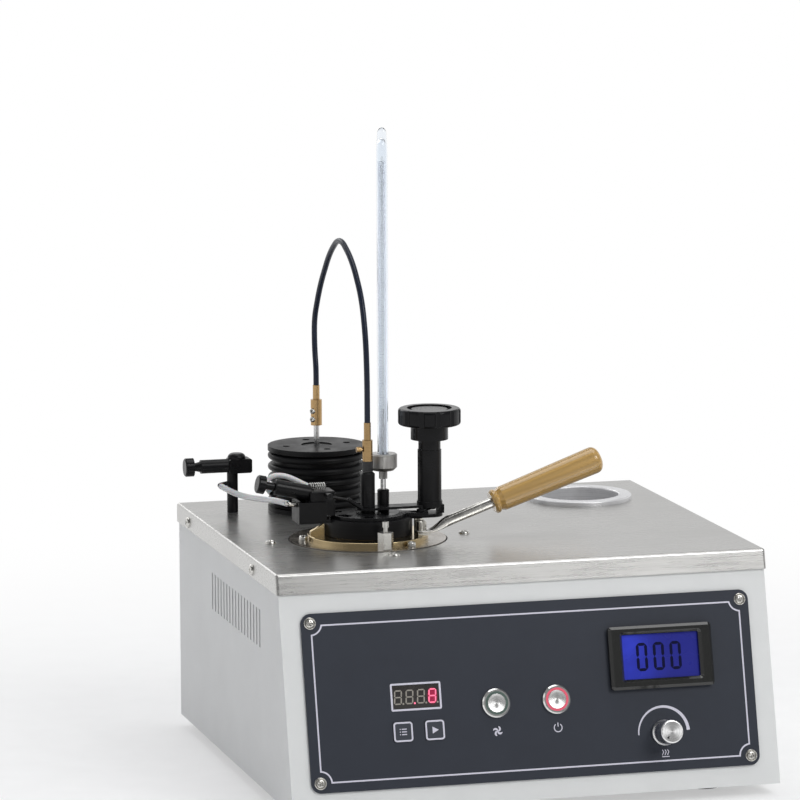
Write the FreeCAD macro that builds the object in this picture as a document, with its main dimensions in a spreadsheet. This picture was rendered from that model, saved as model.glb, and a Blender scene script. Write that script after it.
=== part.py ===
# Closed-cup flash point tester, in millimetres.
# A sheet metal case with a sloping control panel carries a heating bath, a finned stirrer motor,
# a gas valve on a post and a cooling well. The brass cup hangs in the bath by its flange, and its
# lid carries the shutter drive, the burner, the stirrer and the thermometer.
# Frame: +X to the right, +Y to the back, +Z up; the origin is under the middle, on the bench.
import FreeCAD, Part
import math
import os
import Sketcher

os.makedirs("parts", exist_ok=True)
Vector = FreeCAD.Vector
Rotation = FreeCAD.Rotation
doc = FreeCAD.newDocument("FlashPointTester")

SIZES = [
    # Case
    ("case_width", 326, "top plate, side to side"),
    ("plate_depth", 278, "top plate, front to back"),
    ("case_height", 147, "case bottom to top plate"),
    ("front_lean", 37.7, "how far the front runs forward to its foot"),
    ("plate_shift", 23, "middle of the top plate behind the origin"),
    ("sheet", 1.5, "sheet thickness"),
    ("flange_drop", 12.7, "folded edge of the top plate"),
    ("plate_edge_round", 2, "rounding of the top plate"),
    ("opening_margin", 12.5, "case opening inside the panel's edge"),
    ("foot_height", 8, "rubber foot"),
    ("foot_radius", 13, "rubber foot"),
    ("foot_taper", 1.5, "foot, narrower at the floor"),
    ("foot_spread", 123, "foot from the middle plane"),
    ("foot_inset", 43, "foot behind the front bottom edge and before the rear"),
    ("vent_pitch", 8.2, "side vent slots"),
    ("vent_width", 2.8, "side vent slots"),
    ("vent_height", 24.5, "side vent slots"),
    ("vent_base", 91.5, "slot bottom above the case bottom"),
    ("vent_back", 39.6, "last slot behind the plate's middle"),
    ("flange_screw_front", 78, "side screw before the plate's middle"),
    ("flange_screw_back", 102.5, "side screw behind the plate's middle"),
    ("flange_screw_drop", 7.8, "side screw below the top"),
    ("case_screw_head", 3.7, "pan head radius"),
    ("case_screw_rise", 1.9, "pan head height"),
    ("case_screw_shank", 1.9, "shank radius"),
    ("case_screw_length", 6, "shank length"),
    ("hole_gap", 0.1, "hole over its screw, on the radius"),
    ("cut_over", 1, "overrun of cuts"),
    # Mains inlet
    ("inlet_x", 110, "from the middle plane"),
    ("inlet_rise", 40, "centre above the case bottom"),
    ("inlet_width", 50, "flange"),
    ("inlet_tall", 23, "flange"),
    ("inlet_flange", 2, "flange thickness"),
    ("inlet_body_width", 28, "moulded body"),
    ("inlet_body_tall", 20, "moulded body"),
    ("inlet_depth", 20, "body behind the flange's face"),
    ("inlet_mouth_width", 24.6, "recess"),
    ("inlet_mouth_tall", 16.6, "recess"),
    ("inlet_mouth_depth", 16, "recess"),
    ("pin_width", 2, "contact pin"),
    ("pin_tall", 4, "contact pin"),
    ("pin_length", 14, "contact pin"),
    ("pin_spread", 7, "outer pins from the middle pin"),
    ("pin_drop", 1.5, "outer pins below the middle of the recess"),
    # Control panel, places across and up the sloping front
    ("panel_side_gap", 14.5, "panel in from the case's side"),
    ("panel_top_gap", 25.557339, "panel's upper edge below the top of the slope"),
    ("panel_foot_gap", 13.2, "panel's lower edge above the foot of the slope"),
    ("panel_sheet", 1.5, "panel thickness"),
    ("panel_corner", 6.5, "corner radius"),
    ("panel_screw_side", 5.8, "screws in from the panel's sides"),
    ("panel_screw_edge", 6.2, "screws in from its upper and lower edges"),
    ("cup_washer", 4, "cup washer radius"),
    ("cup_washer_rise", 1, "cup washer height"),
    ("panel_screw_head", 2.7, "head radius"),
    ("panel_screw_shank", 1.45, "shank radius"),
    ("panel_gap", 0.15, "opening round a fitted device"),
    ("display_up", 0.7, "digit window above the panel's middle"),
    ("display_width", 33, "digit window"),
    ("display_tall", 17.4, "digit window"),
    ("display_sink", 0.4, "window face below the panel's face"),
    ("display_rim", 2, "module wider than its window"),
    ("board_depth", 10.5, "circuit board face behind the panel's face"),
    ("board_sheet", 1.6, "circuit board"),
    ("board_width", 74, "circuit board"),
    ("board_tall", 60, "circuit board"),
    ("board_down", 9.7, "circuit board below the panel's middle"),
    ("standoff_radius", 3, "board standoff"),
    ("standoff_inset", 5, "standoff from the board's edge"),
    ("key_side", 12.5, "square key"),
    ("key_down", 21.2, "keys below the panel's middle"),
    ("key_rise", 0.8, "key above the panel"),
    ("key_corner", 0.8, "key corner radius"),
    ("key_travel", 0.4, "key press"),
    ("button_down", 6.7, "buttons below the panel's middle"),
    ("bezel_radius", 9.25, "button bezel"),
    ("bezel_rise", 2.4, "button bezel"),
    ("bezel_chamfer", 0.8, "button bezel"),
    ("barrel_radius", 7.9, "button barrel"),
    ("barrel_length", 24, "button barrel behind the panel's face"),
    ("cap_radius", 6.5, "button cap"),
    ("cap_rise", 3, "cap above the panel"),
    ("cap_dish", 0.5, "hollow of the cap"),
    ("cap_gap", 0.1, "cap in its bezel, on the radius"),
    ("button_travel", 1.5, "button press"),
    ("button_stem", 5, "cap skirt behind the panel's face"),
    ("nut_radius", 10.5, "ring nut behind the sheet"),
    ("nut_tall", 3, "ring nut"),
    ("meter_up", 16.6, "meter above the panel's middle"),
    ("meter_width", 69.1, "meter bezel"),
    ("meter_tall", 40.4, "meter bezel"),
    ("meter_rise", 5, "meter bezel"),
    ("meter_corner", 2.2, "meter bezel corner"),
    ("meter_chamfer", 1.8, "meter bezel edge"),
    ("glass_width", 51.3, "meter window"),
    ("glass_tall", 28.6, "meter window"),
    ("glass_mid", 0.4, "window centre above the meter's"),
    ("glass_rise", 1.2, "window face above the panel's face"),
    ("meter_body", 26, "meter body behind the panel's face"),
    ("meter_neck", 2, "body narrower than the bezel, each side"),
    ("knob_down", 32.2, "heat knob below the panel's middle"),
    ("knob_length", 18, "heat knob off the panel"),
    ("knob_radius", 7.5, "heat knob"),
    ("knob_collar", 8.25, "heat knob base"),
    ("knob_collar_tall", 2.8, "heat knob base"),
    ("knob_lift", 0.3, "knob off the panel"),
    ("knob_round", 1, "knob edge"),
    ("knob_bore_depth", 12, "bore for the shaft"),
    ("pot_shaft", 3, "shaft radius"),
    ("pot_bushing", 3.6, "bushing radius"),
    ("pot_body", 8, "body radius"),
    ("pot_depth", 12, "body behind the panel"),
    ("run_gap", 0.05, "running fit on the radius"),
    # Heating bath; heights are from the top plate
    ("cup_x", -73.4, "cup axis"),
    ("cup_y", -30.6, "cup axis from the plate's middle"),
    ("plate_hole", 52.1, "hole in the top plate"),
    ("disc_radius", 51.3, "polished disc"),
    ("disc_proud", 0.5, "disc above the plate"),
    ("disc_thick", 6, "polished disc"),
    ("disc_ledge", 5, "ledge under the disc's rim"),
    ("ledge_tall", 6.5, "ledge height"),
    ("bath_flange", 72, "bath flange radius"),
    ("bath_flange_tall", 3, "bath flange"),
    ("bath_radius", 62, "bath casting"),
    ("bath_wall", 7, "bath casting"),
    ("bath_depth", 64, "bath below the plate"),
    ("bath_floor", 6, "bath floor"),
    ("well_radius", 30, "air well round the cup"),
    ("well_wall", 14, "well wall with its heating winding"),
    ("plate_screw_ring", 65.5, "screws round the disc"),
    ("disc_screw_ring", 42.9, "screws in the disc"),
    ("disc_screw_turn", 56, "first screw from +X"),
    ("disc_screw_head", 2.9, "head radius"),
    ("disc_screw_rise", 3.4, "head height"),
    ("disc_screw_shank", 1.9, "shank radius"),
    ("disc_screw_length", 4, "shank length"),
    ("post_offset", 44.2, "locating post before the cup axis"),
    ("post_flats", 9, "hexagon across flats"),
    ("post_tall", 11, "hexagon height"),
    ("stud_radius", 1.5, "stud above the hexagon"),
    ("stud_head", 2.2, "slotted stud head radius"),
    ("stud_rise", 3.4, "stud above the hexagon"),
    ("stud_head_tall", 3.6, "stud head"),
    ("stud_slot", 0.8, "screwdriver slot"),
    # Cup
    ("cup_bore", 25.4, "inside radius"),
    ("cup_depth", 56, "inside depth"),
    ("cup_wall_low", 1.2, "wall below the flange"),
    ("cup_wall_rim", 1.6, "wall at the rim"),
    ("cup_floor", 2.4, "floor thickness"),
    ("cup_rim_rise", 13.1, "rim above the top plate"),
    ("cup_flange", 39.5, "flange radius"),
    ("cup_flange_tall", 3.2, "flange thickness"),
    ("cup_edge_round", 0.6, "flange edge"),
    ("cup_corner", 3, "inside corner"),
    ("lug_out", 39, "guide lug, outer end"),
    ("lug_in", 29.6, "guide lug, inner end"),
    ("lug_thick", 3, "guide lug"),
    ("lug_rise_out", 6.6, "guide lug top, outer end"),
    ("lug_rise_in", 11.5, "guide lug top, inner end"),
    ("bracket_near", 28.6, "handle bracket from the axis"),
    ("bracket_far", 36.7, "handle bracket from the axis"),
    ("bracket_back", 9.5, "bracket upright's back face"),
    ("bracket_front", 20.5, "bracket leg's front edge"),
    ("bracket_sheet", 1.5, "bracket thickness"),
    ("bracket_top", 13.3, "bracket above the plate"),
    ("bracket_chamfer", 2.6, "upright's corner"),
    ("handle_y", 16, "handle before the cup axis"),
    ("handle_rise_angle", 19.6, "handle climb, degrees"),
    ("clamp_x", 31.4, "clamp screw"),
    ("clamp_radius", 2.65, "clamp screw head"),
    ("clamp_tall", 6.1, "clamp screw head"),
    ("clamp_shank", 1.5, "clamp screw shank radius"),
    ("tang_tall", 1.5, "flattened end of the handle tube"),
    ("tang_width", 8, "flattened end"),
    ("tang_end", 44, "flattened end from the cup axis"),
    ("tube_start_x", 34.2, "handle axis at its low end"),
    ("tube_start_z", 6.2, "handle axis at its low end"),
    ("tube_bare", 6.4, "start of the round tube along the axis"),
    ("tube_radius", 3.5, "handle tube"),
    ("tube_length", 58, "handle tube along the axis"),
    ("grip_start", 48.4, "grip along the axis"),
    ("grip_length", 78.4, "wooden grip"),
    ("grip_small", 8.1, "grip radius at the tube"),
    ("grip_large", 9, "grip radius at the end"),
    ("grip_neck", 6.9, "grip radius behind its bead"),
    ("grip_bead", 4.5, "bead length"),
    ("grip_nose", 5, "rounding of the grip's end"),
    # Lid
    ("lid_rim_in", 27.3, "inside of the rim"),
    ("lid_rim_out", 29.2, "outside of the rim"),
    ("lid_skirt", 9.1, "rim below the cover"),
    ("lid_cover_tall", 2.2, "cover thickness"),
    ("tower_x", 42, "opening knob's axis from the cup axis"),
    ("arm_half", 8.5, "right arm half width"),
    ("left_arm", 48.6, "left arm from the cup axis"),
    ("left_arm_half", 9.8, "left arm half width"),
    ("rim_boss", 4.2, "small boss on the rim's back"),
    ("rim_boss_x", 4, "boss from the cup axis"),
    ("rim_boss_y", 28, "boss behind the cup axis"),
    ("rim_boss_rise", 4, "boss above the cover"),
    ("port_in", 17, "port, inner radius"),
    ("port_out", 23.5, "port, outer radius"),
    ("port_turn", -123, "middle port, degrees from +X"),
    ("port_spread", 48, "side ports from the middle one, degrees"),
    ("port_half", 13, "middle port half width, degrees"),
    ("side_port_half", 8, "side port half width, degrees"),
    ("lid_layer_gap", 0.2, "play between sliding plates"),
    ("shutter_tall", 2, "shutter thickness"),
    ("shutter_radius", 25.5, "shutter"),
    ("shutter_hub", 8.5, "shutter hub"),
    ("shutter_arm_in", 20.5, "inside of the shutter's arm"),
    ("shutter_turn", 28.4, "shutter swing, degrees"),
    ("shutter_fan_half", 75, "half of the covering fan, degrees"),
    ("tail_half", 5.2, "half width of the slotted tail"),
    ("tail_end", 39.5, "tail's outer end"),
    ("slot_half", 2.5, "half width of the tail's slot"),
    ("slot_in", 28, "slot, inner end"),
    ("slot_out", 37, "slot, outer end"),
    ("crank_reach", 12, "pin from the knob's axis"),
    ("crank_tall", 1.4, "crank thickness"),
    ("crank_half", 2.6, "crank half width"),
    ("crank_pin", 1.5, "pin radius"),
    ("knob_swing", 90, "opening knob, degrees"),
    ("bridge_tall", 1.6, "bridge plate"),
    ("bridge_half", 5.5, "bridge half width"),
    ("bridge_gap", 0.2, "crank below the bridge"),
    ("spacer_near", 47.8, "spacer under the bridge's end"),
    ("bridge_end", 50.4, "end of the bridge and the right arm"),
    ("sleeve_radius", 7.8, "tower sleeve"),
    ("sleeve_foot", 8.4, "tower foot flange"),
    ("sleeve_foot_tall", 2.2, "tower foot flange"),
    ("sleeve_top", 57, "sleeve above the plate"),
    ("spindle_radius", 3, "knob spindle"),
    ("neck_radius", 7.3, "knob neck"),
    ("neck_top", 63.9, "knob neck above the plate"),
    ("hub_radius", 12.3, "knob hub"),
    ("hub_top", 73.5, "knob hub above the plate"),
    ("star_radius", 20.6, "star knob"),
    ("star_top", 84.5, "star knob above the plate"),
    ("star_round", 2, "star knob edges"),
    ("star_ring", 14.7, "recess in the knob's top"),
    ("star_recess", 1.6, "recess depth"),
    ("star_disc", 11.8, "disc in the recess"),
    ("star_disc_sink", 0.7, "disc below the knob's top"),
    ("flute_radius", 2.6, "flute round the knob"),
    ("flute_depth", 1.1, "flute round the knob"),
    ("flute_count", 12, "flutes"),
    # Burner on the lid's left arm
    ("stand_far", 48.6, "stand's left face from the cup axis"),
    ("stand_near", 30, "stand's right end"),
    ("stand_base", 2.5, "stand base"),
    ("stand_sheet", 1.6, "stand ears"),
    ("stand_wall", 2.6, "stand's left wall"),
    ("stand_top", 27, "ears above the plate"),
    ("valve_far", 40.4, "valve block's left face"),
    ("valve_near", 23.8, "valve block's right face"),
    ("valve_half", 8, "valve block half width"),
    ("valve_top", 33.8, "valve block above the plate"),
    ("valve_round", 1.2, "valve block's edges"),
    ("barrel_tilt", 12.6, "barrel climb to the left, degrees"),
    ("valve_barrel", 5.15, "barrel radius"),
    ("valve_axis_x", 39.4, "barrel start"),
    ("valve_axis_z", 31.9, "barrel axis above the plate"),
    ("valve_barrel_length", 23.9, "barrel"),
    ("valve_neck", 2.6, "valve spindle radius"),
    ("valve_knob_off", 6.9, "knob from the barrel's end"),
    ("valve_knob_radius", 6, "valve knob"),
    ("valve_knob_tall", 5, "valve knob"),
    ("valve_knob_round", 0.7, "valve knob"),
    ("pivot_x", 30, "flame tube pivot from the cup axis"),
    ("pivot_z", 31.8, "flame tube pivot above the plate"),
    ("pivot_radius", 1.2, "flame tube pivot"),
    ("pivot_hub", 2.2, "flame tube hub"),
    ("flame_y", 17, "flame tube before the cup axis"),
    ("flame_radius", 0.9, "flame tube"),
    ("flame_tip", 1.5, "flame tube tip"),
    ("flame_bend_x", 17.2, "flame tube bend from the cup axis"),
    ("flame_bend_z", 29, "flame tube bend above the plate"),
    ("flame_end_x", 8.6, "flame tube end from the cup axis"),
    ("flame_end_z", 23, "flame tube end above the plate"),
    ("spring_wire", 0.4, "return spring wire radius"),
    ("spring_radius", 1.9, "return spring, to the wire's middle"),
    ("spring_pitch", 1.5, "return spring"),
    ("spring_turns", 7, "return spring"),
    ("spring_far", 39, "return spring's left end"),
    # Stirrer
    ("column_radius", 4.8, "stirrer column"),
    ("column_top", 44, "column above the plate"),
    ("column_chamfer", 1.2, "column's top edge"),
    ("stirrer_radius", 1.5, "stirrer shaft"),
    ("collar_radius", 3.6, "knurled collar"),
    ("collar_top", 51.2, "collar above the plate"),
    ("collar_lift", 0.5, "collar above the column"),
    ("coupling_radius", 3.4, "brass coupling"),
    ("coupling_top", 65.1, "coupling above the plate"),
    ("coupling_sleeve", 2.3, "coupling's thin end"),
    ("coupling_end", 76.5, "coupling's end above the plate"),
    ("thumb_rise", 58.9, "thumb screw above the plate"),
    ("thumb_radius", 1.9, "thumb screw"),
    ("thumb_reach", 7.4, "thumb screw's head from the axis"),
    ("paddle_low", -36.1, "lower paddles' middle"),
    ("paddle_high", -3.5, "upper paddles' middle"),
    ("paddle_low_reach", 16, "lower paddles"),
    ("paddle_high_reach", 9.5, "upper paddles"),
    ("paddle_width", 8, "lower paddles"),
    ("paddle_high_width", 5, "upper paddles"),
    ("paddle_sheet", 1.2, "paddles"),
    ("paddle_hub", 3.2, "paddle hub"),
    ("paddle_hub_tall", 6, "paddle hub"),
    # Thermometer
    ("thermo_x", 12.7, "thermometer from the cup axis"),
    ("thermo_y", 7.9, "thermometer behind the cup axis"),
    ("holder_radius", 3.9, "thermometer holder"),
    ("holder_top", 30.7, "holder above the plate"),
    ("stem_radius", 1.8, "thermometer stem"),
    ("stem_low", -31, "bulb's end"),
    ("bulb_radius", 2, "bulb"),
    ("ferrule_nut", 2.8, "nut under the ferrule"),
    ("ferrule_nut_low", 37.8, "nut above the plate"),
    ("ferrule_low", 43.4, "ferrule above the plate"),
    ("ferrule_top", 54.4, "ferrule above the plate"),
    ("ferrule_radius", 9.2, "ferrule"),
    ("ferrule_taper", 2.2, "ferrule narrower at its foot"),
    ("glass_radius", 3.65, "glass sheath"),
    ("glass_top", 268.4, "glass above the plate"),
    # Motor
    ("motor_x", -77.1, "motor axis"),
    ("motor_y", 88.2, "motor axis from the plate's middle"),
    ("motor_radius", 33, "motor rings"),
    ("motor_core", 28.5, "motor between the rings"),
    ("motor_foot", 3, "motor base"),
    ("motor_height", 44, "motor"),
    ("motor_cap", 3.3, "top disc"),
    ("ring_thick", 4.6, "cooling rings"),
    ("ring_pitch", 7.5, "cooling rings"),
    ("ring_first", 4.8, "first ring above the plate"),
    ("ring_count", 5, "cooling rings"),
    ("cap_hole", 2.5, "holes in the top disc"),
    ("cap_hole_ring", 21.5, "holes in the top disc"),
    ("cap_hole_turn", 5, "holes turned, degrees"),
    ("cap_recess", 10.4, "recess round the shaft"),
    ("cap_recess_depth", 0.8, "recess round the shaft"),
    ("motor_shaft", 1.9, "shaft radius"),
    ("motor_shaft_low", 30, "shaft's start above the plate"),
    ("motor_shaft_top", 66, "shaft's end above the plate"),
    ("drive_low", 57.3, "motor coupling above the plate"),
    ("drive_radius", 3.8, "motor coupling"),
    ("drive_top", 74.7, "motor coupling above the plate"),
    ("drive_end", 84.5, "coupling sleeve's end above the plate"),
    ("set_screw", 1.3, "set screw radius"),
    ("set_screw_low", 61.5, "set screw above the plate"),
    ("set_screw_high", 67.1, "set screw above the plate"),
    ("set_screw_turn", 215, "set screws, degrees from +X"),
    ("set_screw_reach", 5.2, "set screw head from the axis"),
    ("flex_radius", 1.9, "flexible shaft"),
    # Cooling well
    ("well_ring_inset", 57.6, "cooling ring centre in from the case's side"),
    ("well_ring_y", 79.2, "cooling ring centre from the plate's middle"),
    ("well_ring_out", 36.3, "cooling ring"),
    ("well_ring_in", 27.3, "cooling ring bore"),
    ("well_ring_tall", 3, "cooling ring"),
    ("well_ring_round", 1.2, "cooling ring edges"),
    ("well_tube_wall", 2, "tube under the ring"),
    ("well_tube_depth", 30, "tube below the plate"),
    ("fan_side", 60, "fan frame"),
    ("fan_depth", 25, "fan frame"),
    ("fan_bore", 28.4, "fan frame bore"),
    ("fan_corner", 4, "fan frame corners"),
    ("fan_hub", 12, "fan hub"),
    ("fan_hub_tall", 15, "fan hub"),
    ("fan_base", 3, "fan motor plate and struts"),
    ("fan_strut", 4, "strut width"),
    ("fan_gap", 1, "blade tips to the frame"),
    ("fan_blades", 7, "blades"),
    ("blade_sheet", 1.4, "blade thickness"),
    ("blade_chord", 15, "blade width"),
    ("blade_tilt", 42, "blade tilt, degrees"),
    ("fan_pin", 1.5, "fan pin"),
    ("fan_lift", 1, "rotor above its plate"),
    # Gas valve on its post
    ("valve_x", -135, "post axis"),
    ("valve_y", 91, "post axis from the plate's middle"),
    ("valve_post_radius", 3.7, "post"),
    ("valve_post_top", 27.1, "post above the plate"),
    ("valve_block_left", 3, "block left of the post axis"),
    ("valve_block_right", 12.5, "block right of the post axis"),
    ("valve_block_tall", 9.6, "block"),
    ("valve_block_half", 5.5, "block half depth"),
    ("valve_block_round", 1.5, "block edges"),
    ("t_barrel_radius", 4.6, "barrel"),
    ("t_barrel_end", 22, "barrel's end left of the post axis"),
    ("t_neck_end", 26.4, "neck's end"),
    ("t_neck_radius", 2.6, "neck"),
    ("t_knob_start", 27, "knob's start"),
    ("t_knob_end", 33, "knob's end"),
    ("t_knob_radius", 6.2, "knob"),
    ("t_spindle", 1.5, "knob spindle"),
    ("t_spindle_reach", 8, "spindle inside the barrel"),
    ("dome_x", 3, "dome cap right of the post axis"),
    ("dome_radius", 6, "dome cap"),
    ("dome_rise", 3.4, "dome cap"),
    ("nipple_radius", 1.5, "hose nipple"),
    ("nipple_run", 2.7, "straight end of a nipple before its hose"),
    ("gas_root_x", -137.5, "post nipple's root from the plate's middle"),
    ("gas_root_y", 90.4, "post nipple's root from the plate's middle"),
    ("gas_root_z", 20.2, "post nipple's root above the plate"),
    ("barrel_root_x", -58.6, "barrel nipple's root from the cup axis"),
    ("barrel_root_y", 1, "barrel nipple's root behind the cup axis"),
    ("barrel_root_z", 34, "barrel nipple's root above the plate"),
    ("block_root_x", -35.6, "block nipple's root from the cup axis"),
    ("block_root_y", 4.2, "block nipple's root behind the cup axis"),
    ("block_root_z", 32, "block nipple's root above the plate"),
    ("hose_radius", 2, "hose"),
    ("lid_hose_radius", 1.7, "short hose on the lid"),
]

VENT_COUNT = 17
REAR_VENT_COUNT = 9
INNER_HOLE_SHARE = 0.8
# Places across the panel, as shares of half its width from its middle
DISPLAY_X_SHARE = -0.518519
KEY_LEFT_X_SHARE = -0.585859
KEY_RIGHT_X_SHARE = -0.445791
FAN_BUTTON_X_SHARE = -0.168350
POWER_BUTTON_X_SHARE = 0.101010
METER_X_SHARE = 0.580471
KNOB_X_SHARE = 0.572391

sheet = doc.addObject("Spreadsheet::Sheet", "Sizes")
for row, (alias, value, note) in enumerate(SIZES, 1):
    sheet.set(f"A{row}", alias)
    sheet.set(f"B{row}", str(value))
    sheet.setAlias(f"B{row}", alias)
    sheet.set(f"C{row}", note)
doc.recompute()


class Length:
    """A value worked out from the sheet, with the expression that gives it."""

    def __init__(self, value, text):
        self.value = float(value)
        self.text = text

    def joined(self, sign, other, value, flip=False):
        text = other.text if isinstance(other, Length) else f"{other}"
        pair = (text, self.text) if flip else (self.text, text)
        return Length(value, f"({pair[0]} {sign} {pair[1]})")

    def __add__(self, other):
        return self.joined("+", other, self.value + plain(other))

    def __radd__(self, other):
        return self.joined("+", other, self.value + plain(other), True)

    def __sub__(self, other):
        return self.joined("-", other, self.value - plain(other))

    def __rsub__(self, other):
        return self.joined("-", other, plain(other) - self.value, True)

    def __mul__(self, other):
        return self.joined("*", other, self.value * plain(other))

    def __rmul__(self, other):
        return self.joined("*", other, self.value * plain(other), True)

    def __truediv__(self, other):
        return self.joined("/", other, self.value / plain(other))

    def __neg__(self):
        return Length(-self.value, f"(0 - {self.text})")


def plain(value):
    return value.value if isinstance(value, Length) else float(value)


class Sizes:
    """Reads one size of the sheet by its alias."""

    def __getattr__(self, alias):
        return Length(sheet.get(alias), f"Sizes.{alias}")


def cosine(angle):
    return Length(math.cos(math.radians(plain(angle))), f"cos({angle.text})")


def sine(angle):
    return Length(math.sin(math.radians(plain(angle))), f"sin({angle.text})")


def root_of_squares(first, second):
    return Length(math.hypot(plain(first), plain(second)), f"sqrt({first.text}^2 + {second.text}^2)")


def half(value):
    return value / 2


size = Sizes()
X = Vector(1, 0, 0)
Y = Vector(0, 1, 0)
Z = Vector(0, 0, 1)
UP = Rotation()
TO_RIGHT = Rotation(Y, 90)
TO_LEFT = Rotation(Y, -90)
TO_FRONT = Rotation(X, 90)

# Main planes and axes of the tester
plate_top = size.foot_height + size.case_height
plate_under = plate_top - size.sheet
front_top_y = size.plate_shift - half(size.plate_depth)
front_foot_y = front_top_y - size.front_lean
rear_y = size.plate_shift + half(size.plate_depth)
slope = root_of_squares(size.case_height, size.front_lean)
slope_back = size.front_lean / slope
slope_up = size.case_height / slope
FRONT = Rotation(X, math.degrees(math.atan2(plain(size.case_height), plain(size.front_lean))))
cup_y = size.plate_shift + size.cup_y
motor_y = size.plate_shift + size.motor_y
well_ring_x = half(size.case_width) - size.well_ring_inset
well_ring_y = size.plate_shift + size.well_ring_y
valve_y = size.plate_shift + size.valve_y

# The control panel and the places on it, across and up the sloping front
panel_width = size.case_width - 2 * size.panel_side_gap
panel_tall = slope - size.panel_foot_gap - size.panel_top_gap
panel_mid = size.panel_foot_gap + half(panel_tall)
panel_screw_x = half(panel_width) - size.panel_screw_side
panel_screw_v = half(panel_tall) - size.panel_screw_edge
display_x = half(panel_width) * DISPLAY_X_SHARE
display_v = panel_mid + size.display_up
board_v = panel_mid - size.board_down
key_left_x = half(panel_width) * KEY_LEFT_X_SHARE
key_right_x = half(panel_width) * KEY_RIGHT_X_SHARE
key_v = panel_mid - size.key_down
fan_button_x = half(panel_width) * FAN_BUTTON_X_SHARE
power_button_x = half(panel_width) * POWER_BUTTON_X_SHARE
button_v = panel_mid - size.button_down
meter_x = half(panel_width) * METER_X_SHARE
meter_v = panel_mid + size.meter_up
knob_x = half(panel_width) * KNOB_X_SHARE
knob_v = panel_mid - size.knob_down

nodes = {}


def bind(thing, **values):
    """Sets properties and ties those that are lengths to the sheet."""
    for name, value in values.items():
        setattr(thing, name, plain(value))
        if isinstance(value, Length):
            thing.setExpression(name, value.text)


def put(thing, x=0, y=0, z=0, turn=UP):
    """Places a thing, with its base tied to the sheet."""
    thing.Placement = FreeCAD.Placement(Vector(plain(x), plain(y), plain(z)), turn)
    for axis, value in (("x", x), ("y", y), ("z", z)):
        if isinstance(value, Length):
            thing.setExpression(f".Placement.Base.{axis}", value.text)
    return thing


def above_cup(x, y, z):
    return size.cup_x + x, cup_y + y, plate_top + z


def on_front(thing, x, v, out=0):
    """Places a thing on the sloping front: across, up the slope, and out of the panel's face."""
    y = front_foot_y + v * slope_back - out * slope_up
    z = size.foot_height + v * slope_up + out * slope_back
    return put(thing, x, y, z, FRONT)


def rod(radius, length, x=0, y=0, z=0, turn=UP):
    thing = doc.addObject("Part::Cylinder", "rod")
    bind(thing, Radius=radius, Height=length)
    return put(thing, x, y, z, turn)


def cone(low, high, length, x=0, y=0, z=0, turn=UP):
    thing = doc.addObject("Part::Cone", "cone")
    bind(thing, Radius1=low, Radius2=high, Height=length)
    return put(thing, x, y, z, turn)


def ball(radius, x, y, z):
    thing = doc.addObject("Part::Sphere", "ball")
    bind(thing, Radius=radius)
    return put(thing, x, y, z)


def block(width, depth, tall, x=0, y=0, z=0, turn=UP):
    """A box from its low corner."""
    thing = doc.addObject("Part::Box", "block")
    bind(thing, Length=width, Width=depth, Height=tall)
    return put(thing, x, y, z, turn)


def sector(inner, outer, start, sweep, tall, x, y, z):
    """A ring sector about a vertical axis; angles in degrees from +X."""
    turn = Rotation(Z, plain(start))
    whole = rod(outer, tall, x, y, z, turn)
    whole.Angle = plain(sweep)
    middle = rod(inner, tall, x, y, z)
    return cut("sector", whole, [middle])


def together(label, shapes):
    thing = doc.addObject("Part::MultiFuse", label)
    thing.Shapes = shapes
    thing.Refine = True
    return thing


def grouped(label, shapes):
    thing = doc.addObject("Part::Compound", label)
    thing.Links = shapes
    return thing


def cut(label, base, tools):
    thing = doc.addObject("Part::Cut", label)
    thing.Base = base
    thing.Tool = tools[0] if len(tools) == 1 else together(f"{label}_cuts", tools)
    thing.Refine = True
    return thing


def copies(label, master, places):
    """Identical small pieces, each its own solid, from one master piece."""
    doc.recompute()
    thing = doc.addObject("Part::Feature", label)
    shapes = []
    for place in places:
        shape = master.Shape.copy()
        shape.Placement = place
        shapes.append(shape)
    thing.Shape = Part.Compound(shapes)
    return thing


def node(thing, label):
    thing.Label = label
    nodes[label] = thing
    return thing


def plane_of(body, role):
    return next(item for item in body.Origin.OriginFeatures if item.Role == role)


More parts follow.
